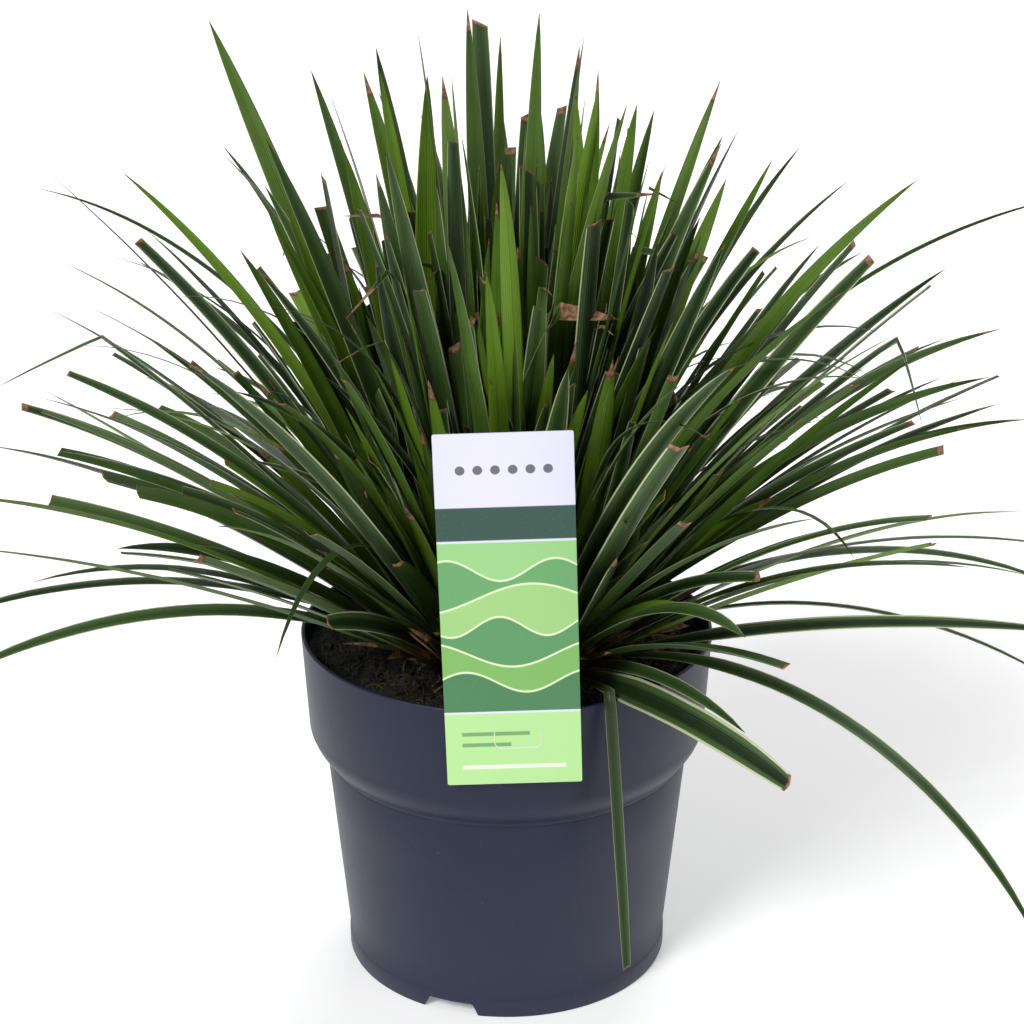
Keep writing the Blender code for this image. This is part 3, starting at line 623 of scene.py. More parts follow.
def grown(kept, draw, make, counts, low, high, crown_top, keep):
    """Adds blades that lie between the half planes and cross no other, each drawn again until it is clear."""
    trees = [free_part(blade, crown_top) for blade in kept]
    for tier, count in enumerate(counts):
        wanted = len(kept) + count
        for _ in range(count * DRAWS):
            if len(kept) == wanted:
                break
            blade = make(draw, low, high, tier)
            points, _ = blade_mesh(blade)
            if max(abs(p.x) for p in points) > FILL_REACH or max(abs(p.y) for p in points) > FILL_DEPTH:
                continue
            if not fits(points, low, high, keep):
                continue
            tree = free_part(blade, crown_top)
            if tree and any(other and tree.overlap(other) for other in trees):
                continue
            kept.append(blade)
            trees.append(tree)
    return kept


def named_leaves(low, high, leaves):
    """Those of the leaves that root in the part between the two azimuths."""
    middle = (low + high) / 2
    half = (high - low) / 2
    return [leaf for leaf in leaves if abs(wrapped(math.atan2(leaf.root.y, leaf.root.x) - middle)) < half]


def wrapped(angle):
    return (angle + math.pi) % TAU - math.pi


# The tall leaves that give the clump its top outline: azimuth, reach, height, turn, width, share of the
# heart's radius that they root at, and the share left by a cut
HEART_OUTLINE = (
    (120, 34, 441, 6, 10, 0.6), (107, 40, 434, 4, 11, 0.85, 0.86), (62, 30, 440, 5, 9, 0.6),
    (190, 38, 438, 8, 9, 0.7), (150, 66, 424, 6, 11, 0.85), (172, 62, 418, 10, 12, 0.6),
    (231, 42, 424, 6, 13, 0.85), (40, 44, 430, 8, 9, 0.6), (14, 66, 400, 8, 11, 0.9),
    (-15, 101, 402, 14, 13, 0.85), (165, 88, 416, 10, 9, 0.9), (169, 131, 437, 4, 12, 0.92),
    (-82, 34, 352, 6, 12, 0.85),
)

# The long, trimmed and hanging leaves that give the clump its side outlines: azimuth, reach, height, turn,
# width, inset, roll, root's azimuth, the share left by a cut, and a crease
SKIRT_OUTLINE_RIGHT = (
    # Right side, from the top down
    (14, 266, 350, 66, 5, 0.3, 0, 8), (8, 193, 318, 18, 11, 0.3, 0, 4, 0.8),
    (-3, 206, 330, 22, 10, 0.45, 0, -4, 1, (0.82, 1.9)), (18, 168, 331, 16, 9, 0.2, 0, 12, 0.85),
    (-13, 180, 276, 28, 9, 0.6, 0, -8, 0.9), (-8, 262, 214, 50, 10, 0.7, 0, -6),
    (6, 268, 168, 62, 9, 0.8, 0, 4), (-19, 258, 168, 64, 8, 0.9, 0, -12),
    (-27, 262, 212, 22, 10, 0.95, 0, -34),
    # Front right
    (-39, 280, 96, 86, 9, 0.9, 0, -41), (-52, 160, 170, 46, 9, 0.95, 0, -50),
    (-59, 214, 176, 20, 11, 0.98, 0, -55, 0.9), (-46, 150, 232, 40, 10, 0.6, 0, -45, 0.8),
)
SKIRT_OUTLINE_LEFT = (
    # Left side, from the top down
    (149, 268, 336, 72, 5, 0.45, 0, 146), (162, 224, 362, 20, 5, 0.2, 0, 166),
    (176, 163, 343, 22, 10, 0.25, 0, 178, 0.85), (186, 218, 340, 18, 9, 0.4, 0, 186, 1, (0.8, 1.1)),
    (180, 175, 294, 28, 11, 0.5, 0, 180, 0.85), (191, 192, 297, 32, 10, 0.45, 0, 190, 0.9),
    (184, 207, 279, 40, 8, 0.6, 0, 184), (195, 202, 268, 40, 8, 0.65, 0, 192),
    (194, 274, 186, 56, 9, 0.8, 0, 190), (199, 176, 222, 30, 10, 0.9, 0, 194, 0.9),
    # Front left
    (206, 264, 186, 58, 9, 0.9, 0, 210), (236, 132, 212, 32, 11, 0.9, 0, 232, 0.85),
    (228, 160, 316, 54, 7, 0.25, 0, 225), (219, 140, 276, 62, 6, 0.4, 0, 216),
    # Behind
    (92, 184, 262, 56, 9, 0.7, 0, 90), (50, 238, 220, 60, 9, 0.8, 0, 48),
    (130, 238, 230, 50, 9, 0.7, 0, 132),
)


def heart_leaves():
    def leaf(azimuth, reach, height, turn, width, share, cut=1.0):
        root = heart_root(share, math.radians(azimuth))
        return reaching(root, azimuth, reach, height, turn, width, cut, spans=HEART_SPANS)

    return [leaf(*row) for row in HEART_OUTLINE]


def placed(rows):
    """Leaves that root in the skirt, each by its row of numbers."""
    def leaf(azimuth, reach, height, turn, width, inset, roll, start=None, cut=1.0, crease=None):
        root = skirt_root(inset, math.radians(azimuth if start is None else start))
        return reaching(root, azimuth, reach, height, turn, width, cut, roll=roll, crease=crease)

    return [leaf(*row) for row in rows]


def skirt_leaves():
    # This leaf lies out over the rim, is folded there, and hangs beside the pot
    hanging = Blade(skirt_root(0.6, math.radians(-60)), math.radians(-66), math.radians(74), math.radians(76),
                    225 * MM, 9 * MM, cut=0.84, crease=(0.28, math.radians(95)), spans=6)
    return placed(SKIRT_OUTLINE_RIGHT) + [hanging] + placed(SKIRT_OUTLINE_LEFT)


# Fine leaves swept along the lines of those rules

STATION = 9 * MM
POINTED = 0.98
LEAF_VALUES = ("half_width", "along", "to_end", "brown", "dryness", "variegation", "fresh", "tone", "slant")
LOOKS = random.Random(7)


class Look:
    """How one leaf is coloured: how fresh, variegated and dry it is, and the length of its brown end in mm.

    Its slimness is the share of the plain blade's width that it has.
    """

    def __init__(self, blade, fresh, variegation, dryness=0.0, brown=None, slim=1.0):
        self.slim = slim
        self.fresh, self.variegation, self.dryness = fresh, variegation, dryness
        ends = (0.5, 1.5, 3, 6, 10) if blade.cut > POINTED else (0.3, 0.6, 1.0, 1.6, 3.2)
        self.brown = LOOKS.choice(ends) if brown is None else brown
        self.tone = LOOKS.random()
        self.slant = LOOKS.uniform(-0.6, 0.6)


def fine_width(blade, share):
    """As the plain blade's, but full for longer before it draws in to the point."""
    opening = 0.5 + 0.5 * min(1, share / 0.3)
    return blade.width * opening * max(0.0, 1 - share**5.5) ** 0.85


def leaf_lines(leaves):
    """A mesh of one line per leaf, with all that the sweep and the finish read at each station."""
    points, edges, upper, heading = [], [], [], []
    values = {name: [] for name in LEAF_VALUES}
    for blade, look in leaves:
        used = blade.length * blade.cut
        spans = max(10, math.ceil(used / STATION))
        trimmed = blade.cut <= POINTED
        for i, (share, here, _, over) in enumerate(blade.midrib(spans)):
            if i:
                edges.append((len(points) - 1, len(points)))
            points.append(here)
            upper.append(over)
            heading.append(blade.heading(share)[1])
            record = (max(look.slim * fine_width(blade, share) / 2, 0.1 * MM), share * blade.length / MM,
                      (used - share * blade.length) / MM, look.brown, look.dryness, look.variegation,
                      look.fresh, look.tone, look.slant if trimmed and i == spans else 0.0)
            for name, value in zip(LEAF_VALUES, record):
                values[name].append(value)
    mesh = bpy.data.meshes.new("leaf_lines")
    mesh.from_pydata(points, edges, [])
    for name, vectors in (("upper", upper), ("heading", heading)):
        layer = mesh.attributes.new(name, "FLOAT_VECTOR", "POINT")
        layer.data.foreach_set("vector", [number for vector in vectors for number in vector])
    for name, numbers in values.items():
        mesh.attributes.new(name, "FLOAT", "POINT").data.foreach_set("value", numbers)
    return mesh


def leaf_sweep():
    """Sweeps a keeled section along each line, then ripples the leaf and slants its trimmed end."""
    tree = Tree("leaf_sweep", Fold=0.42, Keel=-0.12, Thickness=0.05, Points=12, Ripple=0.5 * MM)
    given = tree.given
    upper = tree.named("upper", "FLOAT_VECTOR")
    half_width = tree.named("half_width")
    lines = tree.first("GeometryNodeMeshToCurve", {"Mesh": given["Base"]})
    lines = tree.first("GeometryNodeSetCurveNormal", {"Curve": lines, "Normal": upper}, mode="FREE")
    ring = tree.first("GeometryNodeCurvePrimitiveCircle", {"Resolution": given["Points"], "Radius": 1.0})
    place = tree.parts(tree.first("GeometryNodeInputPosition"))
    across = {"Geometry": ring, "Name": "across", "Value": place["X"]}
    ring = tree.first("GeometryNodeStoreNamedAttribute", across, data_type="FLOAT", domain="POINT")
    side = tree.named("across")
    width = tree.calc("ABSOLUTE", side)
    height = tree.line(place["Y"], given["Thickness"], tree.line(width, given["Fold"], given["Keel"]))
    section = tree.first("ShaderNodeCombineXYZ", {"X": height, "Y": side})
    ring = tree.first("GeometryNodeSetPosition", {"Geometry": ring, "Position": section})
    leaf = tree.swept(lines, ring, half_width)
    wave = tree.add("ShaderNodeTexNoise", {"Scale": 45.0, "Detail": 1.0}).outputs["Fac"]
    ripple = tree.times(tree.times(tree.calc("SUBTRACT", wave, 0.5), given["Ripple"]), width)
    slope = tree.times(tree.times(side, tree.named("slant")), half_width)
    skew = tree.stretched(tree.named("heading", "FLOAT_VECTOR"), slope)
    shift = tree.first("ShaderNodeVectorMath", {0: tree.stretched(upper, ripple), 1: skew}, operation="ADD")
    leaf = tree.first("GeometryNodeSetPosition", {"Geometry": leaf, "Offset": shift})
    return tree.ended(tree.first("GeometryNodeSetShadeSmooth", {"Geometry": leaf, "Shade Smooth": True}))


def leaf_finish(name, gloss):
    """Green leaf: veins, a pale margin on variegated leaves, a red-brown sheath, and brown ends."""
    leaf = Finish(name, gloss, Specular_IOR_Level=0.36)
    side, along, tone = leaf.attribute("across"), leaf.attribute("along"), leaf.attribute("tone")
    variegation, fresh = leaf.attribute("variegation"), leaf.attribute("fresh")
    width = leaf.calc("ABSOLUTE", side)
    mottle = leaf.noise(leaf.place, 55.0, 4.0)
    grain = leaf.noise(leaf.place, 420.0, 2.0)
    # A dark green for the veins, also used as painted shade in the leaf's middle fold
    vein_and_crease_shade = (0.008, 0.020, 0.005)
    # Fine veins run the length of the leaf, and wander a little
    vein = leaf.line(leaf.calc("SINE", leaf.line(mottle, 1.4, leaf.times(side, 34.0))), 0.5, 0.5)
    depth = leaf.ramp(leaf.calc("ADD", tone, leaf.times(mottle, 0.5)), 0.15, 1.25)
    # The young green's light end is the leaf's fresh colour, partly painted brighter as light shining through
    # young leaves
    young = leaf.blend(depth, (0.030, 0.078, 0.005), (0.160, 0.300, 0.014))
    mature = leaf.blend(depth, (0.007, 0.019, 0.005), (0.040, 0.086, 0.018))
    colour = leaf.blend(leaf.times(vein, 0.22), leaf.blend(fresh, mature, young), vein_and_crease_shade)
    # Grey-green bands beside the middle of a variegated leaf, partly painted sheen, then its cream edge, and
    # a dark middle line of painted shade in the leaf's fold
    # Painted sheen in part: the band is real variegation, made stronger to stand in for the sheen on the
    # leaves
    band = leaf.times(leaf.ramp(width, 0.30, 0.62), variegation)
    colour = leaf.blend(leaf.times(band, 0.40), colour, (0.115, 0.205, 0.068))
    edge_start = leaf.line(variegation, -0.13, leaf.line(mottle, 0.10, 0.90))
    edge = leaf.ramp(width, edge_start, leaf.calc("ADD", edge_start, 0.07))
    colour = leaf.blend(leaf.times(edge, leaf.line(variegation, 0.62, 0.28)), colour, (0.62, 0.68, 0.42))
    # Painted shade: a thin dark line along the middle, where the leaf's fold makes a crease
    colour = leaf.blend(leaf.times(leaf.fall(width, 0.015, 0.075), 0.40), colour, vein_and_crease_shade)
    # The shade low in the clump, the paler neck of the leaf, then the sheath at its foot
    colour = leaf.blend(leaf.times(leaf.fall(along, 20.0, 170.0), 0.62), colour, (0.010, 0.020, 0.004))
    colour = leaf.blend(leaf.times(leaf.fall(along, 14.0, 50.0), 0.20), colour, (0.12, 0.13, 0.03))
    sheath = leaf.fall(leaf.line(mottle, -26.0, along), -4.0, 22.0)
    colour = leaf.blend(leaf.times(sheath, 0.9), colour, (0.085, 0.030, 0.013))
    # The dead end and its darker border
    brown = leaf.line(mottle, 3.0, leaf.attribute("brown"))
    gone = leaf.calc("SUBTRACT", leaf.attribute("to_end"), leaf.calc("SUBTRACT", brown, 1.4))
    dead = leaf.calc("MAXIMUM", leaf.fall(gone, -0.7, 0.9), leaf.attribute("dryness"))
    straw = leaf.blend(leaf.ramp(grain, 0.30, 0.70), (0.145, 0.058, 0.024), (0.40, 0.245, 0.135))
    straw = leaf.blend(leaf.ramp(gone, -1.2, 0.2, 0.0, 0.8), straw, (0.060, 0.018, 0.009))
    colour = leaf.blend(dead, colour, straw)
    # A grey bloom in fine specks
    colour = leaf.blend(leaf.ramp(grain, 0.62, 0.80, 0.0, 0.10), colour, (0.22, 0.26, 0.16))
    rough = leaf.line(dead, 0.30, leaf.line(grain, 0.16, gloss - 0.08))
    return leaf.ended(colour, rough, leaf.line(vein, 0.6, leaf.times(grain, 0.5)), 0.00016)


# The clump

FILL = random.Random(19)
between = FILL.uniform
BOX_MARGIN = 4 * MM
FILL_TRIES = 60
SIDE_SHARE = 0.78
UPRIGHT_LEAN = math.radians(24)
LOW_LEAN = math.radians(38)
HANGING_LEAN = math.radians(70)

# Broad young leaves that stand at the front: azimuth, reach, height, turn, width, inset, roll, root's azimuth
FRONT_LEAVES = (
    (-86, 45, 344, -12, 12.5, 0.1, 0, -92), (-133, 34, 368, -8, 13.5, 0.1, 0),
    (-168, 96, 366, 8, 13, 0.1, -0.9), (-172, 34, 419, -4, 13.5, 0.1, -1.3),
    (11, 30, 410, 6, 10, 0.1, 1.2), (-141, 99, 323, 10, 12.5, 0.4, -0.4),
    (-123, 88, 316, 8, 12, 0.5, -0.3), (-39, 84, 311, 10, 10, 0.4, 0.4),
    (-41, 122, 290, 14, 12, 0.6, 0.6), (-4, 67, 378, 10, 11, 0.1, 1.2), (4, 56, 405, 8, 12, 0.1, 1.2),
    (-21, 39, 381, 4, 9, 0.1, 0.9), (180, 70, 386, 10, 11, 0.1, -1.2), (-122, 22, 384, -6, 11, 0.1, 0),
    (-27, 45, 355, 8, 9, 0.1, 0.8), (-165, 117, 350, 14, 10, 0.3, -0.9), (-14, 85, 362, 14, 10, 0.3, 1.0),
    (-100, 62, 300, 4, 11, 0.3, 0), (-64, 66, 318, 6, 11, 0.3, 0.2), (-112, 70, 282, 6, 10, 0.5, 0),
    (-60, 84, 268, 12, 11, 0.6, 0.3), (-128, 100, 282, 12, 12, 0.6, -0.3),
    (-140, 112, 264, 16, 12, 0.7, -0.5), (-118, 92, 254, 10, 11, 0.7, -0.2),
    (-150, 122, 302, 14, 12, 0.5, -0.7), (-133, 118, 236, 20, 11, 0.8, -0.4),
    (-30, 132, 252, 18, 11, 0.6, 0.6), (-50, 110, 256, 14, 12, 0.7, 0.3),
    (-35, 106, 302, 10, 11, 0.4, 0.5), (-146, 128, 276, 18, 11, 0.7, -0.6),
    (-126, 112, 300, 8, 12, 0.5, -0.3), (-114, 80, 306, 6, 11, 0.4, -0.2),
    (-155, 132, 252, 22, 10, 0.8, -0.7), (-24, 138, 284, 14, 11, 0.6, 0.7),
    (-44, 96, 330, 8, 11, 0.3, 0.4),
)

# Long variegated leaves that lie across the others there: the same, then the share left by a cut
CROSSING_LEAVES = (
    (-9, 92, 392, 16, 11, 0.1, 0.8, -60), (-118, 24, 384, -26, 11, 0.1, -0.3, -38),
    (-30, 51, 362, 8, 11, 0.1, 0.5, -66, 0.86), (-26, 79, 358, 20, 10, 0.1, 0.6, -74, 0.9),
    (-20, 112, 352, 24, 10, 0.3, 0.7, -50, 0.88), (-11, 158, 346, 16, 10, 0.3, 0.8, -34, 0.9),
    (-176, 104, 372, 18, 10, 0.2, -0.9, -130), (-160, 112, 344, 26, 9, 0.3, -0.6, -118),
    (-146, 92, 300, 40, 9, 0.5, -0.4, -100), (-70, 60, 330, 30, 8, 0.3, 0.3, -112),
    (-96, 72, 306, 34, 8, 0.4, -0.3, -60),
)


def in_cad_box(point):
    low, high = cad_box
    return all(low[i] - BOX_MARGIN < point[i] < high[i] + BOX_MARGIN for i in range(3))


def crown_outline(z):
    """How far the thick of the clump reaches at height z."""
    heights = ((0, 140), (190, 146), (250, 146), (300, 140), (350, 122), (400, 90), (441, 50))
    for (low, near), (high, far) in zip(heights, heights[1:]):
        if z < high * MM:
            return (near + (far - near) * (z / MM - low) / (high - low)) * MM
    return heights[-1][1] * MM


def outside_pot(point):
    """Clear of the pot and of the label, and not in front of the label's face."""
    if not (clear_of_pot(point) and clear_of_label(point)):
        return False
    local = label_place().inverted() @ point
    return not (abs(local.x) < LABEL_WIDTH / 2 + 6 * MM and -local.y > RIM_RADIUS - 12 * MM)


def high_enough(point):
    """An arch's end stays up among the leaves, not over the rim at the front."""
    low_in_front = point.z <= 200 * MM and math.hypot(point.x, point.y) >= 62 * MM and point.y <= 40 * MM
    return outside_pot(point) and not low_in_front


def in_thick(point):
    """In the thick of the clump, which is narrower to the sides than to the front and back."""
    return outside_pot(point) and math.hypot(point.x / SIDE_SHARE, point.y) < crown_outline(point.z)


def fill_blades(make, count, room):
    """Further leaves that thicken the clump. They stay in the room, and may cross the other leaves."""
    made = []
    for _ in range(count * FILL_TRIES):
        if len(made) == count:
            break
        blade = make()
        points, _ = blade_mesh(blade, 2)
        if all(room(point) and in_cad_box(point) for point in points):
            made.append(blade)
    return made


def mostly_pointed():
    return {"cut": FILL.choice((1.0, 1.0, 1.0, 0.8, 0.9))}


def upright_fill():
    """A broad young leaf in the heart, or round it, that ends lower than the top ones."""
    azimuth = between(0, TAU)
    root = heart_root(between(0.3, 1.5), azimuth)
    root.z += between(0, 6) * MM
    return drawn(FILL, root, azimuth, 0.7, between(0, 22), (-10, 16), (130, 275), (8, 13), 1.4, 0.5, 0.8,
                 mostly_pointed)


def leaning_fill():
    """A leaf in the skirt, of any lean from nearly upright to low over the rim."""
    azimuth = between(0, TAU)
    inset = FILL.random()
    return drawn(FILL, skirt_root(inset, azimuth), azimuth, 0.5, between(8, 26) + 30 * inset,
                 (-8, 34 + 16 * inset), (110, 250), (6, 11), (1.0, 2.2), 0.6, 0.9, mostly_pointed)


def thin_arc():
    """A narrow leaf that arches over and back down among the others."""
    azimuth, lean = between(0, TAU), between(2, 34)
    return drawn(FILL, skirt_root(between(0, 0.6), azimuth), azimuth, 1.1, lean, (50, 110), (160, 255),
                 (2.4, 6), (1.2, 2.6), 1.0)


def snapped_tip():
    """An upright leaf whose dry end has snapped and hangs over to one side."""
    azimuth, lean = between(-2.4, 0.8), between(2, 20)
    return drawn(FILL, heart_root(between(0.4, 1.5), azimuth), azimuth, 0.5, lean, (-4, 12), (185, 260),
                 (6, 9), 1.4, 0.3, 0.8, lambda: {"crease": (between(0.86, 0.93), between(1.0, 2.2))})


def sheath():
    """A short outer scale leaf at the foot of the shoots."""
    azimuth, lean = between(0, TAU), between(18, 62)
    return drawn(FILL, skirt_root(between(0.3, 1.15), azimuth), azimuth, 0.5, lean, (0, 30), (22, 62),
                 (4, 7.5), 1.2, 0.5, 1)


def dead_leaf():
    """A leaf that stands among the front ones, with its dead tip snapped over to the right."""
    return Blade(skirt_root(0.0, math.radians(-78)), math.radians(-60), math.radians(5), math.radians(7),
                 204 * MM, 17 * MM, sweep=0.7, roll=0.6, crease=(0.86, math.radians(82)))


def young_look(blade):
    """Most leaves of the heart are fresh, but those that stand tallest or were trimmed are older."""
    fresh, variegation = LOOKS.choice(((1, 0), (1, 0.1), (0.9, 0), (0.8, 0.3), (0.25, 0.9), (0.1, 0.7),
                                       (0.0, 0.5)))
    if blade.bend == 1.0:
        fresh, variegation = 0.15 + 0.35 * fresh, 0.35
    if blade.cut <= POINTED:
        fresh, variegation = 0.2 * fresh, 0.6
    return Look(blade, fresh, variegation)


def is_low_at_front(blade):
    """True for a leaf that was placed one by one, so that its arch is even, and that leans to the front."""
    even = blade.bend == 1.0 and not blade.crease
    return even and blade.root.y < -12 * MM and blade.lean > UPRIGHT_LEAN


def mature_look(blade):
    """The skirt is variegated, with more fresh leaves at the front, and slimmer leaves at the sides."""
    back = ((0, 1), (0, 0.9), (0.1, 0.8), (0.1, 0.6), (0.2, 0.4), (0.3, 0.1), (0.85, 0.1))
    front = ((0, 1), (0.1, 0.7), (0.2, 0.4), (0.4, 0.1), (0.8, 0.1), (0.9, 0), (0.7, 0.2))
    fresh, variegation = LOOKS.choice(front if blade.root.y < 0 else back)
    long_and_low = blade.bend == 1.0 and blade.lean + blade.lean_tip > 2 * LOW_LEAN
    if long_and_low:
        # Their strong variegation also paints the sheen of these low leaves into the grey-green band
        fresh, variegation = 0.0, LOOKS.choice((0.9, 1.1, 1.3))
    at_side = abs(math.cos(blade.azimuth)) > 0.6 and blade.lean > math.radians(22)
    slim = 0.64 if at_side else 0.90
    if blade.crease and blade.lean > HANGING_LEAN:
        fresh, variegation, slim = 0.35, 0.5, 0.60
    elif blade.width < 6 * MM and blade.bend == 1.0:
        slim = 0.50
    elif is_low_at_front(blade) and not at_side:
        slim = 1.2 if blade.lean > HANGING_LEAN else 1.0
    return Look(blade, fresh, variegation, slim=slim)


def front_look(blade):
    return Look(blade, LOOKS.choice((1.0, 0.9, 0.8)), 0.05)


def crossing_look(blade):
    return Look(blade, LOOKS.choice((0.0, 0.15)), 1.0)


def snapped_look(blade):
    return Look(blade, 0.2, 0.5, brown=LOOKS.uniform(10, 30))


def sheath_look(blade):
    return Look(blade, 0.4, 0.1, LOOKS.choice((0.0, 0.2, 0.8)), LOOKS.uniform(4, 20))


def dead_look(blade):
    return Look(blade, 0.3, 0.2, brown=27)


def turn_to_view(blade):
    """Leaves at the sides are twisted, most of them with their upper side to the front."""
    side = math.cos(math.atan2(blade.root.y, blade.root.x))
    upright = blade.lean < UPRIGHT_LEAN
    twist = side * LOOKS.choice((0.2, 0.7, 1.0, 1.2, -0.5) if upright else (-0.4, -0.1, 0.1, 0.3, 0.7))
    blade.roll += math.copysign(0.85, side) if is_low_at_front(blade) else twist
    return blade


class Shoots:
    """The heart's or the skirt's leaves with their looks, in the parts that the solids have.

    Its first leaves are those of the solids, drawn by the solids' rules and in their order.
    """

    def __init__(self, kind, seed, turn, parts, outline, make, counts, crown_top, keep, look):
        self.kind, self.turn, self.parts = kind, turn, parts
        draw = random.Random(seed)
        self.leaves = []
        for part in range(parts):
            low = turn + TAU * part / parts
            high = low + TAU / parts
            blades = grown(named_leaves(low, high, outline), draw, make, counts, low, high, crown_top, keep)
            self.leaves.append([(turn_to_view(blade), look(blade)) for blade in blades])

    def add(self, blades, look, turned=False):
        """Adds each further leaf to the part that it roots in."""
        if turned:
            blades = [turn_to_view(blade) for blade in blades]
        for blade in blades:
            azimuth = math.atan2(blade.root.y, blade.root.x)
            part = int((azimuth - self.turn) % TAU / (TAU / self.parts))
            self.leaves[part].append((blade, look(blade)))

    def make_pieces(self, sweep, **inputs):
        slot = {"heart": "young_leaf", "skirt": "mature_leaf"}[self.kind]
        for part, leaves in enumerate(self.leaves, 1):
            piece = grow(f"{self.kind}_leaves_{part}", leaf_lines(leaves), sweep, **inputs)
            dress(piece, slot, f"{self.kind}_shoots_{part}")


def make_leaves():
    heart = Shoots("heart", HEART_SEED, HEART_TURN, HEART_PARTS, heart_leaves(), heart_blade, [HEART_BLADES],
                   SOIL_TOP + (HEART_CROWN_RISE - 6 * MM), in_heart, young_look)
    skirt = Shoots("skirt", SKIRT_SEED, SKIRT_TURN, SKIRT_PARTS, skirt_leaves(), skirt_blade,
                   [BLADES_IN_TIER] * SKIRT_TIERS, SOIL_TOP + (SKIRT_CROWN_RISE - 2 * MM), in_skirt,
                   mature_look)
    heart.add(fill_blades(upright_fill, 150, in_thick), young_look, turned=True)
    heart.add(placed(FRONT_LEAVES), front_look)
    heart.add(placed(CROSSING_LEAVES), crossing_look)
    skirt.add(fill_blades(leaning_fill, 76, in_thick), mature_look, turned=True)
    skirt.add(fill_blades(thin_arc, 40, high_enough), mature_look)
    heart.add(fill_blades(snapped_tip, 16, in_thick), snapped_look)
    skirt.add(fill_blades(sheath, 150, outside_pot), sheath_look)
    skirt.add([dead_leaf()], dead_look)
    sweep = leaf_sweep()
    heart.make_pieces(sweep, Finish=leaf_finish("young_leaf_green", 0.42), Fold=0.30, Keel=-0.08)
    skirt.make_pieces(sweep, Finish=leaf_finish("mature_leaf_green", 0.36))


# The flower spike

STEM_SPANS = 40
SPIRAL_TURN = 2.39996


def stem_line():
    thick = []
    for i in range(STEM_SPANS + 1):
        along = (i / STEM_SPANS - (1 - SPIKE_SHARE)) / SPIKE_SHARE
        thick.append(CULM_RADIUS if along <= 0 else CULM_RADIUS * (1.15 - 0.6 * along))
    mesh = bpy.data.meshes.new("stem_line")
    mesh.from_pydata([spike_axis(i / STEM_SPANS) for i in range(STEM_SPANS + 1)],
                     [(i, i + 1) for i in range(STEM_SPANS)], [])
    mesh.attributes.new("thick", "FLOAT", "POINT").data.foreach_set("value", thick)
    return mesh


def spike_sweep():
    """A stem swept along its line, with pointed scales set in a spiral over its end."""
    tree = Tree("spike_sweep", Scales=84, Length=6.4 * MM)
    given = tree.given
    line = tree.first("GeometryNodeMeshToCurve", {"Mesh": given["Base"]})
    ring = tree.first("GeometryNodeCurvePrimitiveCircle", {"Resolution": 10, "Radius": 1.0})
    stem = tree.swept(line, ring, tree.named("thick"))
    end = tree.first("GeometryNodeTrimCurve", {"Curve": line, 2: 1 - SPIKE_SHARE, 3: 1.0}, mode="FACTOR")
    evenly = {"Curve": end, "Count": given["Scales"]}
    spots = tree.add("GeometryNodeCurveToPoints", evenly, mode="COUNT").outputs
    number = tree.first("GeometryNodeInputIndex")
    spin = tree.first("ShaderNodeCombineXYZ", {"Z": tree.times(number, SPIRAL_TURN)})
    splay = tree.first("ShaderNodeCombineXYZ", {"X": tree.random(0.16, 0.52, 3)})
    facing = spots["Rotation"]
    for turn in (spin, splay):
        facing = tree.first("FunctionNodeRotateRotation", {0: facing, 1: turn}, rotation_space="LOCAL")
    scale = tree.first("GeometryNodeMeshCone", {"Vertices": 6, "Radius Top": 0.02 * MM,
                                                "Radius Bottom": 0.9 * MM, "Depth": given["Length"]})
    size = tree.ramp(tree.calc("DIVIDE", number, given["Scales"]), 0.55, 1.0, 1.0, 0.55)
    scales = tree.first("GeometryNodeInstanceOnPoints", {"Points": spots["Points"], "Instance": scale,
                                                         "Rotation": facing, "Scale": size})
    joined = tree.add("GeometryNodeJoinGeometry", {0: stem})
    tree.put(joined.inputs[0], scales)
    return tree.ended(joined.outputs[0])


def spike_finish():
    spike = Finish("dry_spike_brown", 0.7)
    grain = spike.noise(spike.place, 700.0, 4.0)
    dry = spike.blend(spike.ramp(grain, 0.3, 0.7), (0.150, 0.065, 0.035), (0.52, 0.34, 0.21))
    stem = spike.blend(grain, (0.10, 0.14, 0.04), (0.22, 0.22, 0.09))
    first_scale = POT_HEIGHT + 195 * MM
    height = spike.parts(spike.place)["Z"]
    colour = spike.blend(spike.ramp(height, first_scale, first_scale + 14 * MM), stem, dry)
    return spike.ended(colour, None, grain, 0.0002)


def make_spike():
    piece = grow("flower_spike_scales", stem_line(), spike_sweep(), Finish=spike_finish())
    for polygon in piece.data.polygons:
        polygon.use_smooth = True
    dress(piece, "dry_spike", "flower_spike")


# The pot

POT_SIDES = 144


def shoulder_points(inset, count=10):
    return [(pot_outer_radius(z) - inset, z)
            for z in (shoulder_foot_z() + SHOULDER_HEIGHT * i / count for i in range(count - 1, -1, -1))]


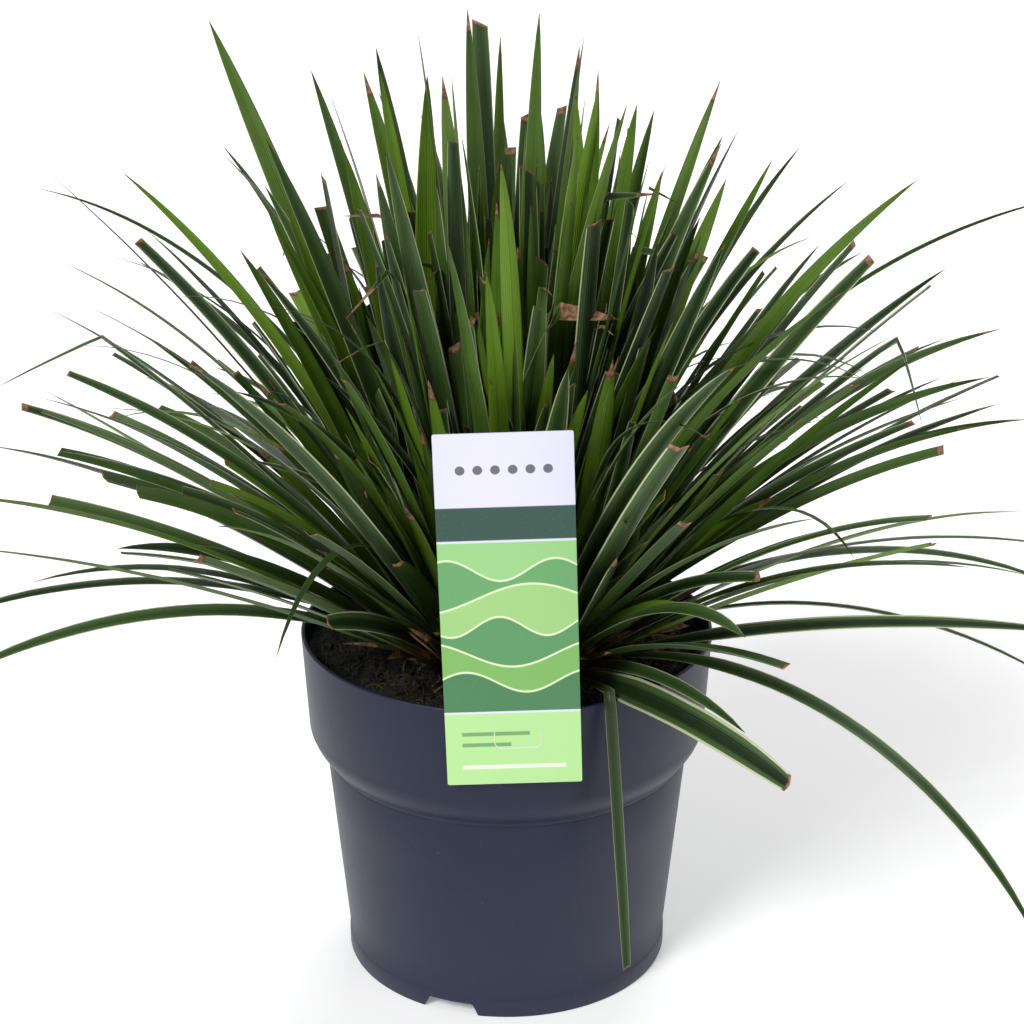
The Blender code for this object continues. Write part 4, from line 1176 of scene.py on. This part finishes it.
def pot_section():
    """Half the pot's section from its middle, over the floor inside, round the rim and down the outside."""
    lip = 0.9 * MM
    step = 0.8 * MM
    groove = 0.45 * MM
    band = FOOT_BAND_RADIUS
    foot_inner = band - FOOT_RING_WIDTH
    floor_top = FLOOR_UNDERSIDE + FLOOR_THICKNESS
    inner_foot = BODY_FOOT_RADIUS - WALL
    collar_foot = collar_foot_z()
    inner = [(0, floor_top), (inner_foot - 3 * MM, floor_top),
             (inner_foot - 0.9 * MM, floor_top + 0.9 * MM), (inner_foot, floor_top + 3 * MM),
             *reversed(shoulder_points(WALL, 6)), (COLLAR_FOOT_RADIUS - WALL, collar_foot)]
    rim = [(RIM_RADIUS - lip + lip * math.cos(a), POT_HEIGHT - lip + lip * math.sin(a))
           for a in (math.pi * i / 8 for i in range(8, -1, -1))]
    line = shoulder_foot_z() - 1.2 * MM
    outer = [(COLLAR_FOOT_RADIUS + 0.1 * MM, collar_foot + 1.6 * MM),
             (COLLAR_FOOT_RADIUS - 0.1 * MM, collar_foot + 0.3 * MM), *shoulder_points(0),
             (pot_outer_radius(line) + 0.1 * MM, line), (pot_outer_radius(line) - groove, line - 0.7 * MM),
             (pot_outer_radius(line - 1.5 * MM), line - 1.5 * MM)]
    outer += [(pot_outer_radius(z), z) for z in (80 * MM, 50 * MM, 24 * MM)]
    outer += [(BODY_FOOT_RADIUS, FOOT_BAND_HEIGHT + 0.6 * MM), (band - 0.2 * MM, FOOT_BAND_HEIGHT),
              (band, FOOT_BAND_HEIGHT - step), (band, step), (band - 0.25 * MM, 0.25 * MM), (band - step, 0),
              (foot_inner + 0.4 * MM, 0), (foot_inner, 0.4 * MM), (foot_inner, FLOOR_UNDERSIDE),
              (0, FLOOR_UNDERSIDE)]
    return inner + rim + outer


def closed_piece(name, points, faces):
    """A piece with all its faces turned outwards."""
    mesh = bpy.data.meshes.new(name)
    mesh.from_pydata(points, [], faces)
    work = bmesh.new()
    work.from_mesh(mesh)
    bmesh.ops.recalc_face_normals(work, faces=work.faces)
    work.to_mesh(mesh)
    work.free()
    return add_object(name, mesh)


def spun(name, section, sides):
    """A closed body spun from a section that starts and ends on the axis."""
    points, faces, rings = [], [], []
    for radius, z in section:
        count = sides if radius else 1
        rings.append(list(range(len(points), len(points) + count)))
        points += [polar(radius, TAU * i / sides, z) for i in range(count)]
    for one, two in zip(rings, rings[1:]):
        for i in range(sides):
            j = (i + 1) % sides
            if len(one) == 1:
                faces.append((one[0], two[j], two[i]))
            elif len(two) == 1:
                faces.append((one[i], one[j], two[0]))
            else:
                faces.append((one[i], one[j], two[j], two[i]))
    return closed_piece(name, points, faces)


def prism(name, base, shift):
    """A closed prism from a ring of points and the way to its other end."""
    count = len(base)
    faces = [tuple(range(count)), tuple(reversed(range(count, 2 * count)))]
    faces += [(i, i + count, (i + 1) % count + count, (i + 1) % count) for i in range(count)]
    return closed_piece(name, list(base) + [point + shift for point in base], faces)


def notch_cutter(azimuth):
    """The wedge that opens the foot ring, with small round corners at its top."""
    top = NOTCH_WIDTH / 2
    foot = top + NOTCH_HEIGHT * 0.4
    soft = 1.2 * MM
    side = ((foot, 0), (top + 0.2 * MM, NOTCH_HEIGHT - soft), (top - 0.4 * MM, NOTCH_HEIGHT - 0.3 * MM),
            (top - soft, NOTCH_HEIGHT))
    section = [(-foot, -2 * MM), (foot, -2 * MM), *side, *((-across, z) for across, z in reversed(side))]
    turn = Matrix.Rotation(math.radians(azimuth), 3, "Z")
    base = [turn @ Vector((RIM_RADIUS * 0.6, across, z)) for across, z in section]
    return prism("notch_cutter", base, turn @ Vector((RIM_RADIUS * 0.4, 0, 0)))


def drain_cutter(azimuth):
    sides = 28
    centre = polar(DRAIN_CIRCLE_RADIUS, azimuth, 0)
    base = [centre + polar(DRAIN_RADIUS, TAU * i / sides, FLOOR_UNDERSIDE - 2 * MM) for i in range(sides)]
    return prism("drain_cutter", base, Vector((0, 0, FLOOR_THICKNESS + 4 * MM)))


def pot_finish():
    """Satin blue-grey plastic with a faint orange-peel skin, turning rings, dust, rubbed scuffs, and painted
    light on its lower wall.
    """
    pot = Finish("pot_blue_grey", 0.42, Specular_IOR_Level=0.32)
    height = pot.parts(pot.place)["Z"]
    cloud = pot.noise(pot.place, 14.0, 4.0)
    colour = pot.blend(cloud, (0.010, 0.013, 0.034), (0.014, 0.018, 0.042))
    # Painted light: the wall is painted lighter towards the foot
    colour = pot.blend(pot.ramp(height, 0.0, 0.12, 0.28, 0.0), colour, (0.040, 0.046, 0.080))
    dust = pot.ramp(pot.noise(pot.place, 620.0, 1.0), 0.765, 0.80, 0.0, 0.22)
    colour = pot.blend(dust, colour, (0.16, 0.16, 0.19))
    scuffs = pot.first("ShaderNodeMapping", {"Vector": pot.place, "Scale": (1.0, 1.0, 9.0)})
    rubbed = pot.ramp(pot.noise(scuffs, 26.0, 6.0, 0.7), 0.60, 0.78, 0.0, 0.22)
    colour = pot.blend(rubbed, colour, (0.065, 0.070, 0.098))
    rings = pot.times(pot.calc("SINE", pot.times(height, 5200.0)), 0.03)
    relief = pot.calc("ADD", pot.noise(pot.place, 900.0, 2.0), rings)
    return pot.ended(colour, pot.line(cloud, 0.12, pot.line(rubbed, 0.5, 0.36)), relief, 0.00010)


def make_pot():
    blank = spun("pot_blank", pot_section(), POT_SIDES)
    cutters = [notch_cutter(azimuth) for azimuth in NOTCH_AZIMUTHS]
    cutters += [drain_cutter(DRAIN_TURN + TAU * i / DRAIN_HOLES) for i in range(DRAIN_HOLES)]
    for cutter in cutters:
        opening = blank.modifiers.new("opening", "BOOLEAN")
        opening.operation = "DIFFERENCE"
        opening.object = cutter
    pot = settled("nursery_pot", blank)
    for cutter in cutters:
        bpy.data.objects.remove(cutter, do_unlink=True)
    smooth(pot, 38)
    dress(pot, "pot_plastic", "pot", finish=pot_finish())


# The peat

def peat_height(x, y):
    """The solid's surface with crumbs' worth of finer relief."""
    place = Vector((x, y, 0))
    fine = noise.fractal(place * 160, 1.0, 2.1, 4) * 1.5 * MM
    coarse = noise.noise(place * 46) * 1.8 * MM
    return soil_height(x, y) + fine + coarse


def make_peat_body():
    sides, rings = 168, 44
    gap = WALL + SOIL_GAP
    top_radius = pot_outer_radius(SOIL_TOP) - gap
    floor = FLOOR_UNDERSIDE + FLOOR_THICKNESS + SOIL_GAP
    section = [(0, SOIL_TOP)]
    section += [(top_radius * (i / rings) ** 0.75, SOIL_TOP) for i in range(1, rings + 1)]
    below = SOIL_TOP - 5 * MM
    section += [(pot_outer_radius(below) - gap, below), (COLLAR_FOOT_RADIUS - gap, collar_foot_z())]
    section += [(radius - SOIL_GAP, z) for radius, z in shoulder_points(WALL, 4)]
    foot = BODY_FOOT_RADIUS - gap
    section += [(foot, floor + 3 * MM), (foot - 3 * MM, floor), (0, floor)]
    body = spun("peat_surface", section, sides)
    for vertex in body.data.vertices:
        x, y, z = vertex.co
        if abs(z - SOIL_TOP) < 0.001 * MM:
            vertex.co.z = peat_height(x, y)
    smooth(body, 60)
    return body


def peat_top(wall_gap):
    """A ring of the peat's surface for small things to lie on, clear of the wall and of the crown."""
    sides, rings = 96, 16
    inner, outer = 34 * MM, RIM_RADIUS - WALL - wall_gap
    points = [polar(inner + (outer - inner) * r / rings, TAU * i / sides, 0) for r in range(rings + 1)
              for i in range(sides)]
    for point in points:
        point.z = peat_height(point.x, point.y)
    faces = []
    for r in range(rings):
        for i in range(sides):
            a, b = r * sides + i, r * sides + (i + 1) % sides
            faces.append((a + sides, b + sides, b, a))
    mesh = bpy.data.meshes.new("peat_top")
    mesh.from_pydata(points, [], faces)
    return mesh


def scatter_tree(name, shape):
    """Strews copies of a small shape over a surface, each turned and sized at random."""
    tree = Tree(name, Density=60000.0, Smallest=0.5, Largest=1.6, Size=1 * MM, Seed=5, Tilt=3.1)
    given = tree.given
    seed = given["Seed"]
    spread = tree.first("GeometryNodeDistributePointsOnFaces",
                        {"Mesh": given["Base"], "Density": given["Density"], "Seed": seed})
    size = tree.random(given["Smallest"], given["Largest"], seed)
    tilt, back = given["Tilt"], tree.times(given["Tilt"], -1.0)
    lows = tree.first("ShaderNodeCombineXYZ", {"X": back, "Y": back, "Z": 0.0})
    highs = tree.first("ShaderNodeCombineXYZ", {"X": tilt, "Y": tilt, "Z": TAU})
    turn = tree.first("FunctionNodeRandomValue", {0: lows, 1: highs, "Seed": seed}, data_type="FLOAT_VECTOR")
    return tree.ended(tree.first("GeometryNodeInstanceOnPoints", {"Points": spread, "Instance": shape(tree),
                                                                  "Rotation": turn, "Scale": size}))


def crumb(tree):
    """A lump with a knobbly skin."""
    size = tree.given["Size"]
    ball = tree.first("GeometryNodeMeshIcoSphere", {"Radius": size, "Subdivisions": 1})
    knobs = tree.add("ShaderNodeTexNoise", {"Scale": 900.0, "Detail": 2.0}).outputs["Fac"]
    push = tree.times(tree.calc("SUBTRACT", knobs, 0.5), tree.times(size, 2.4))
    shift = tree.stretched(tree.first("GeometryNodeInputNormal"), push)
    return tree.first("GeometryNodeSetPosition", {"Geometry": ball, "Offset": shift})


def strand(tree):
    """A thin bent thread, as of moss, root or straw."""
    size = tree.given["Size"]
    bent = {"Start": (0, 0, 0), "Start Handle": (0.2, 0, 0.5), "End Handle": (0.6, 0.3, 0.8),
            "End": (1.0, 0.1, 0.5)}
    line = {key: tree.stretched(place, size) for key, place in bent.items()}
    thick = tree.times(size, 0.045)
    ring = {"Geometry": tree.first("GeometryNodeCurvePrimitiveCircle", {"Resolution": 4}),
            "Scale": tree.first("ShaderNodeCombineXYZ", {"X": thick, "Y": thick, "Z": 1.0})}
    return tree.swept(tree.first("GeometryNodeCurvePrimitiveBezierSegment", {"Resolution": 5, **line}),
                      tree.first("GeometryNodeTransform", ring))


def earth_finish(name, dark, light, rough=0.95):
    earth = Finish(name, rough)
    grain = earth.noise(earth.place, 900.0, 4.0)
    patches = earth.line(grain, 0.5, earth.times(earth.noise(earth.place, 60.0, 4.0), 0.5))
    colour = earth.blend(earth.ramp(patches, 0.38, 0.66), dark, light)
    return earth.ended(colour, earth.line(grain, -0.25, rough), grain, 0.0006)


def make_peat():
    black = (0.002, 0.0015, 0.001)
    dress(make_peat_body(), "peat", "peat", finish=earth_finish("peat_brown", black, (0.012, 0.009, 0.006)))
    top = peat_top(4 * MM)
    strands = scatter_tree("strand_scatter", strand)
    scattered = (
        grow("peat_crumbs", top, scatter_tree("crumb_scatter", crumb), Size=1.5 * MM, Density=62000.0,
             Smallest=0.35, Largest=1.9, Finish=earth_finish("crumb_brown", black, (0.017, 0.012, 0.008))),
        grow("moss_tufts", top, strands, Size=3.4 * MM, Density=90000.0, Seed=11, Tilt=1.0,
             Finish=earth_finish("moss_olive", (0.006, 0.009, 0.002), (0.085, 0.090, 0.026))),
        grow("straw_bits", peat_top(15 * MM), strands, Size=8 * MM, Density=3600.0, Seed=23, Tilt=1.4,
             Smallest=0.25, Largest=1.3,
             Finish=earth_finish("straw_tan", (0.07, 0.042, 0.024), (0.30, 0.20, 0.12), 0.7)))
    for piece in scattered:
        smooth(piece, 60)
        dress(piece, "peat")


# The label

def card_outline(half, low, high, corner):
    """The card's outline from its lower left corner, with each corner rounded."""
    centres = ((-half + corner, low + corner, 180), (half - corner, low + corner, 270),
               (half - corner, high - corner, 0), (-half + corner, high - corner, 90))
    return [(x + corner * math.cos(a), z + corner * math.sin(a))
            for x, z, start in centres for a in (math.radians(start + 18 * i) for i in range(6))]


def make_card():
    half = LABEL_WIDTH / 2
    low, high = -LABEL_BELOW_RIM, LABEL_HEIGHT - LABEL_BELOW_RIM
    base = [Vector((x, -LABEL_BACK, z)) for x, z in card_outline(half, low, high, 0.9 * MM)]
    blank = prism("card_blank", base, Vector((0, -LABEL_THICKNESS, 0)))
    edge = blank.modifiers.new("edge", "BEVEL")
    edge.width = 0.18 * MM
    edge.segments = 2
    card = settled("plant_label_card", blank)
    # The print is placed by how far across and up the card a point is
    print_map = card.data.uv_layers.new(name="print")
    for loop in card.data.loops:
        x, _, z = card.data.vertices[loop.vertex_index].co
        print_map.data[loop.index].uv = ((x + half) / LABEL_WIDTH, (z - low) / LABEL_HEIGHT)
    return card


def make_hook():
    """The strip that bends from the card's back over the rim and down inside it."""
    inside = -(RIM_RADIUS - WALL) + 1.2 * MM
    out = inside + LABEL_THICKNESS
    top = HOOK_RISE + LABEL_THICKNESS
    back = -LABEL_BACK - 0.3 * MM
    bend = 1.0 * MM
    section = ((back, top), (out - bend, top), (out - 0.3 * bend, top - 0.3 * bend), (out, top - bend),
               (out, -HOOK_DROP), (inside, -HOOK_DROP), (inside, HOOK_RISE - 0.4 * bend),
               (inside - 0.4 * bend, HOOK_RISE), (back, HOOK_RISE))
    base = [Vector((-HOOK_WIDTH / 2, y, z)) for y, z in section]
    return prism("label_hook", base, Vector((HOOK_WIDTH, 0, 0)))


def make_tongue():
    """The die-cut tongue near the card's foot: a fine raised edge in the shape of a flat U."""
    front = -LABEL_BACK - LABEL_THICKNESS
    low, high = -LABEL_BELOW_RIM + 17 * MM, -LABEL_BELOW_RIM + 25 * MM
    left, right, corner = -8 * MM, 12 * MM, 3 * MM
    turns = [math.pi / 2 * i / 6 for i in range(7)]
    path = [(left, high), (left, low + corner)]
    path += [(left + corner * (1 - math.cos(a)), low + corner * (1 - math.sin(a))) for a in turns[1:]]
    path += [(right - corner * (1 - math.sin(a)), low + corner * (1 - math.cos(a))) for a in turns]
    path += [(right, high)]
    curve = bpy.data.curves.new("tongue_path", "CURVE")
    curve.dimensions = "3D"
    curve.bevel_depth = 0.22 * MM
    curve.bevel_resolution = 2
    curve.use_fill_caps = True
    line = curve.splines.new("POLY")
    line.points.add(len(path) - 1)
    for point, (x, z) in zip(line.points, path):
        point.co = (x, front, z, 1)
    return settled("label_tongue_edge", add_object("tongue_path", curve))


def print_finish():
    """A glossy card with a plain pattern: a pale head, a dark band, green waves and a light green foot."""
    card = Finish("label_print", 0.30, Coat_Weight=0.35, Coat_Roughness=0.12)
    place = card.parts(card.first("ShaderNodeUVMap", uv_map="print"))
    u, v = place["X"], place["Y"]
    sharp = 0.002

    def over(line, first, second):
        return card.blend(card.ramp(v, line - sharp, line + sharp), first, second)

    # Fields in the middle panel, each edge a slow wave with a pale line along it
    colour = (0.30, 0.60, 0.22)
    fields = ((0.62, 0.030, 8.0, 1.1, (0.12, 0.36, 0.12)), (0.54, 0.040, 4.0, 5.2, (0.33, 0.60, 0.20)),
              (0.46, 0.028, 9.0, 4.0, (0.085, 0.29, 0.10)), (0.38, 0.036, 5.0, 2.1, (0.19, 0.45, 0.10)),
              (0.30, 0.030, 7.0, 0.4, (0.050, 0.20, 0.070)))
    for level, swing, pace, start, field in fields:
        wave = card.calc("SINE", card.line(u, pace, start))
        rise = card.calc("SUBTRACT", v, card.line(wave, swing, level))
        colour = card.blend(card.fall(rise, -sharp, sharp), colour, field)
        colour = card.blend(card.window(rise, (-0.002, 0.0), (0.004, 0.006)), colour, (0.72, 0.85, 0.52))
    # The foot and the head, with thin white rules beside the dark band
    white = (0.75, 0.74, 0.88)
    colour = over(0.215, (0.45, 0.76, 0.30), colour)
    colour = card.blend(card.window(v, (0.209, 0.211), (0.215, 0.217)), colour, white)
    for line, band in ((0.700, white), (0.706, (0.011, 0.064, 0.044)), (0.798, white)):
        colour = over(line, colour, band)
    # A row of round dots on the head and three short bars on the foot
    cell = card.calc("SUBTRACT", card.calc("FRACT", card.times(u, 8.0)), 0.5)
    high = card.times(card.calc("SUBTRACT", v, 0.90), 22.0)
    away = card.calc("SQRT", card.calc("ADD", card.times(cell, cell), card.times(high, high)))
    dots = card.times(card.fall(away, 0.26, 0.29), card.window(u, (0.125, 0.126), (0.875, 0.876)))
    colour = card.blend(dots, colour, (0.13, 0.13, 0.17))
    ink, pale = (0.10, 0.28, 0.08), (0.90, 0.95, 0.82)
    for level, end, paint in ((0.150, 0.62, ink), (0.118, 0.48, ink), (0.052, 0.88, pale)):
        tall = card.fall(card.calc("ABSOLUTE", card.calc("SUBTRACT", v, level)), 0.0045, 0.0065)
        bar = card.times(tall, card.window(u, (0.12, 0.126), (end, end + 0.006)))
        colour = card.blend(card.times(bar, 0.8), colour, paint)
    # Faint paper fibre under the gloss
    fibre = card.noise(card.place, 800.0, 3.0)
    colour = card.blend(card.ramp(fibre, 0.55, 0.85, 0.0, 0.10), colour, (0.55, 0.55, 0.50))
    return card.ended(colour, card.line(fibre, 0.14, 0.24), fibre, 0.00003)


def plain_card_finish():
    card = Finish("label_card_white", 0.45)
    fibre = card.noise(card.place, 700.0, 4.0)
    return card.ended(card.blend(fibre, (0.70, 0.70, 0.72), (0.82, 0.82, 0.84)), None, fibre, 0.00005)


def make_label():
    plain = plain_card_finish()
    pieces = ((make_card(), 30, print_finish(), ["plant_label"]), (make_hook(), 30, plain, []),
              (make_tongue(), 60, plain, []))
    for piece, angle, finish, replaced in pieces:
        piece.data.transform(label_place())
        smooth(piece, angle)
        dress(piece, "label_card", *replaced, finish=finish)


add_camera()
add_stage()
add_lights()
make_pot()
make_peat()
make_label()
make_spike()
make_leaves()
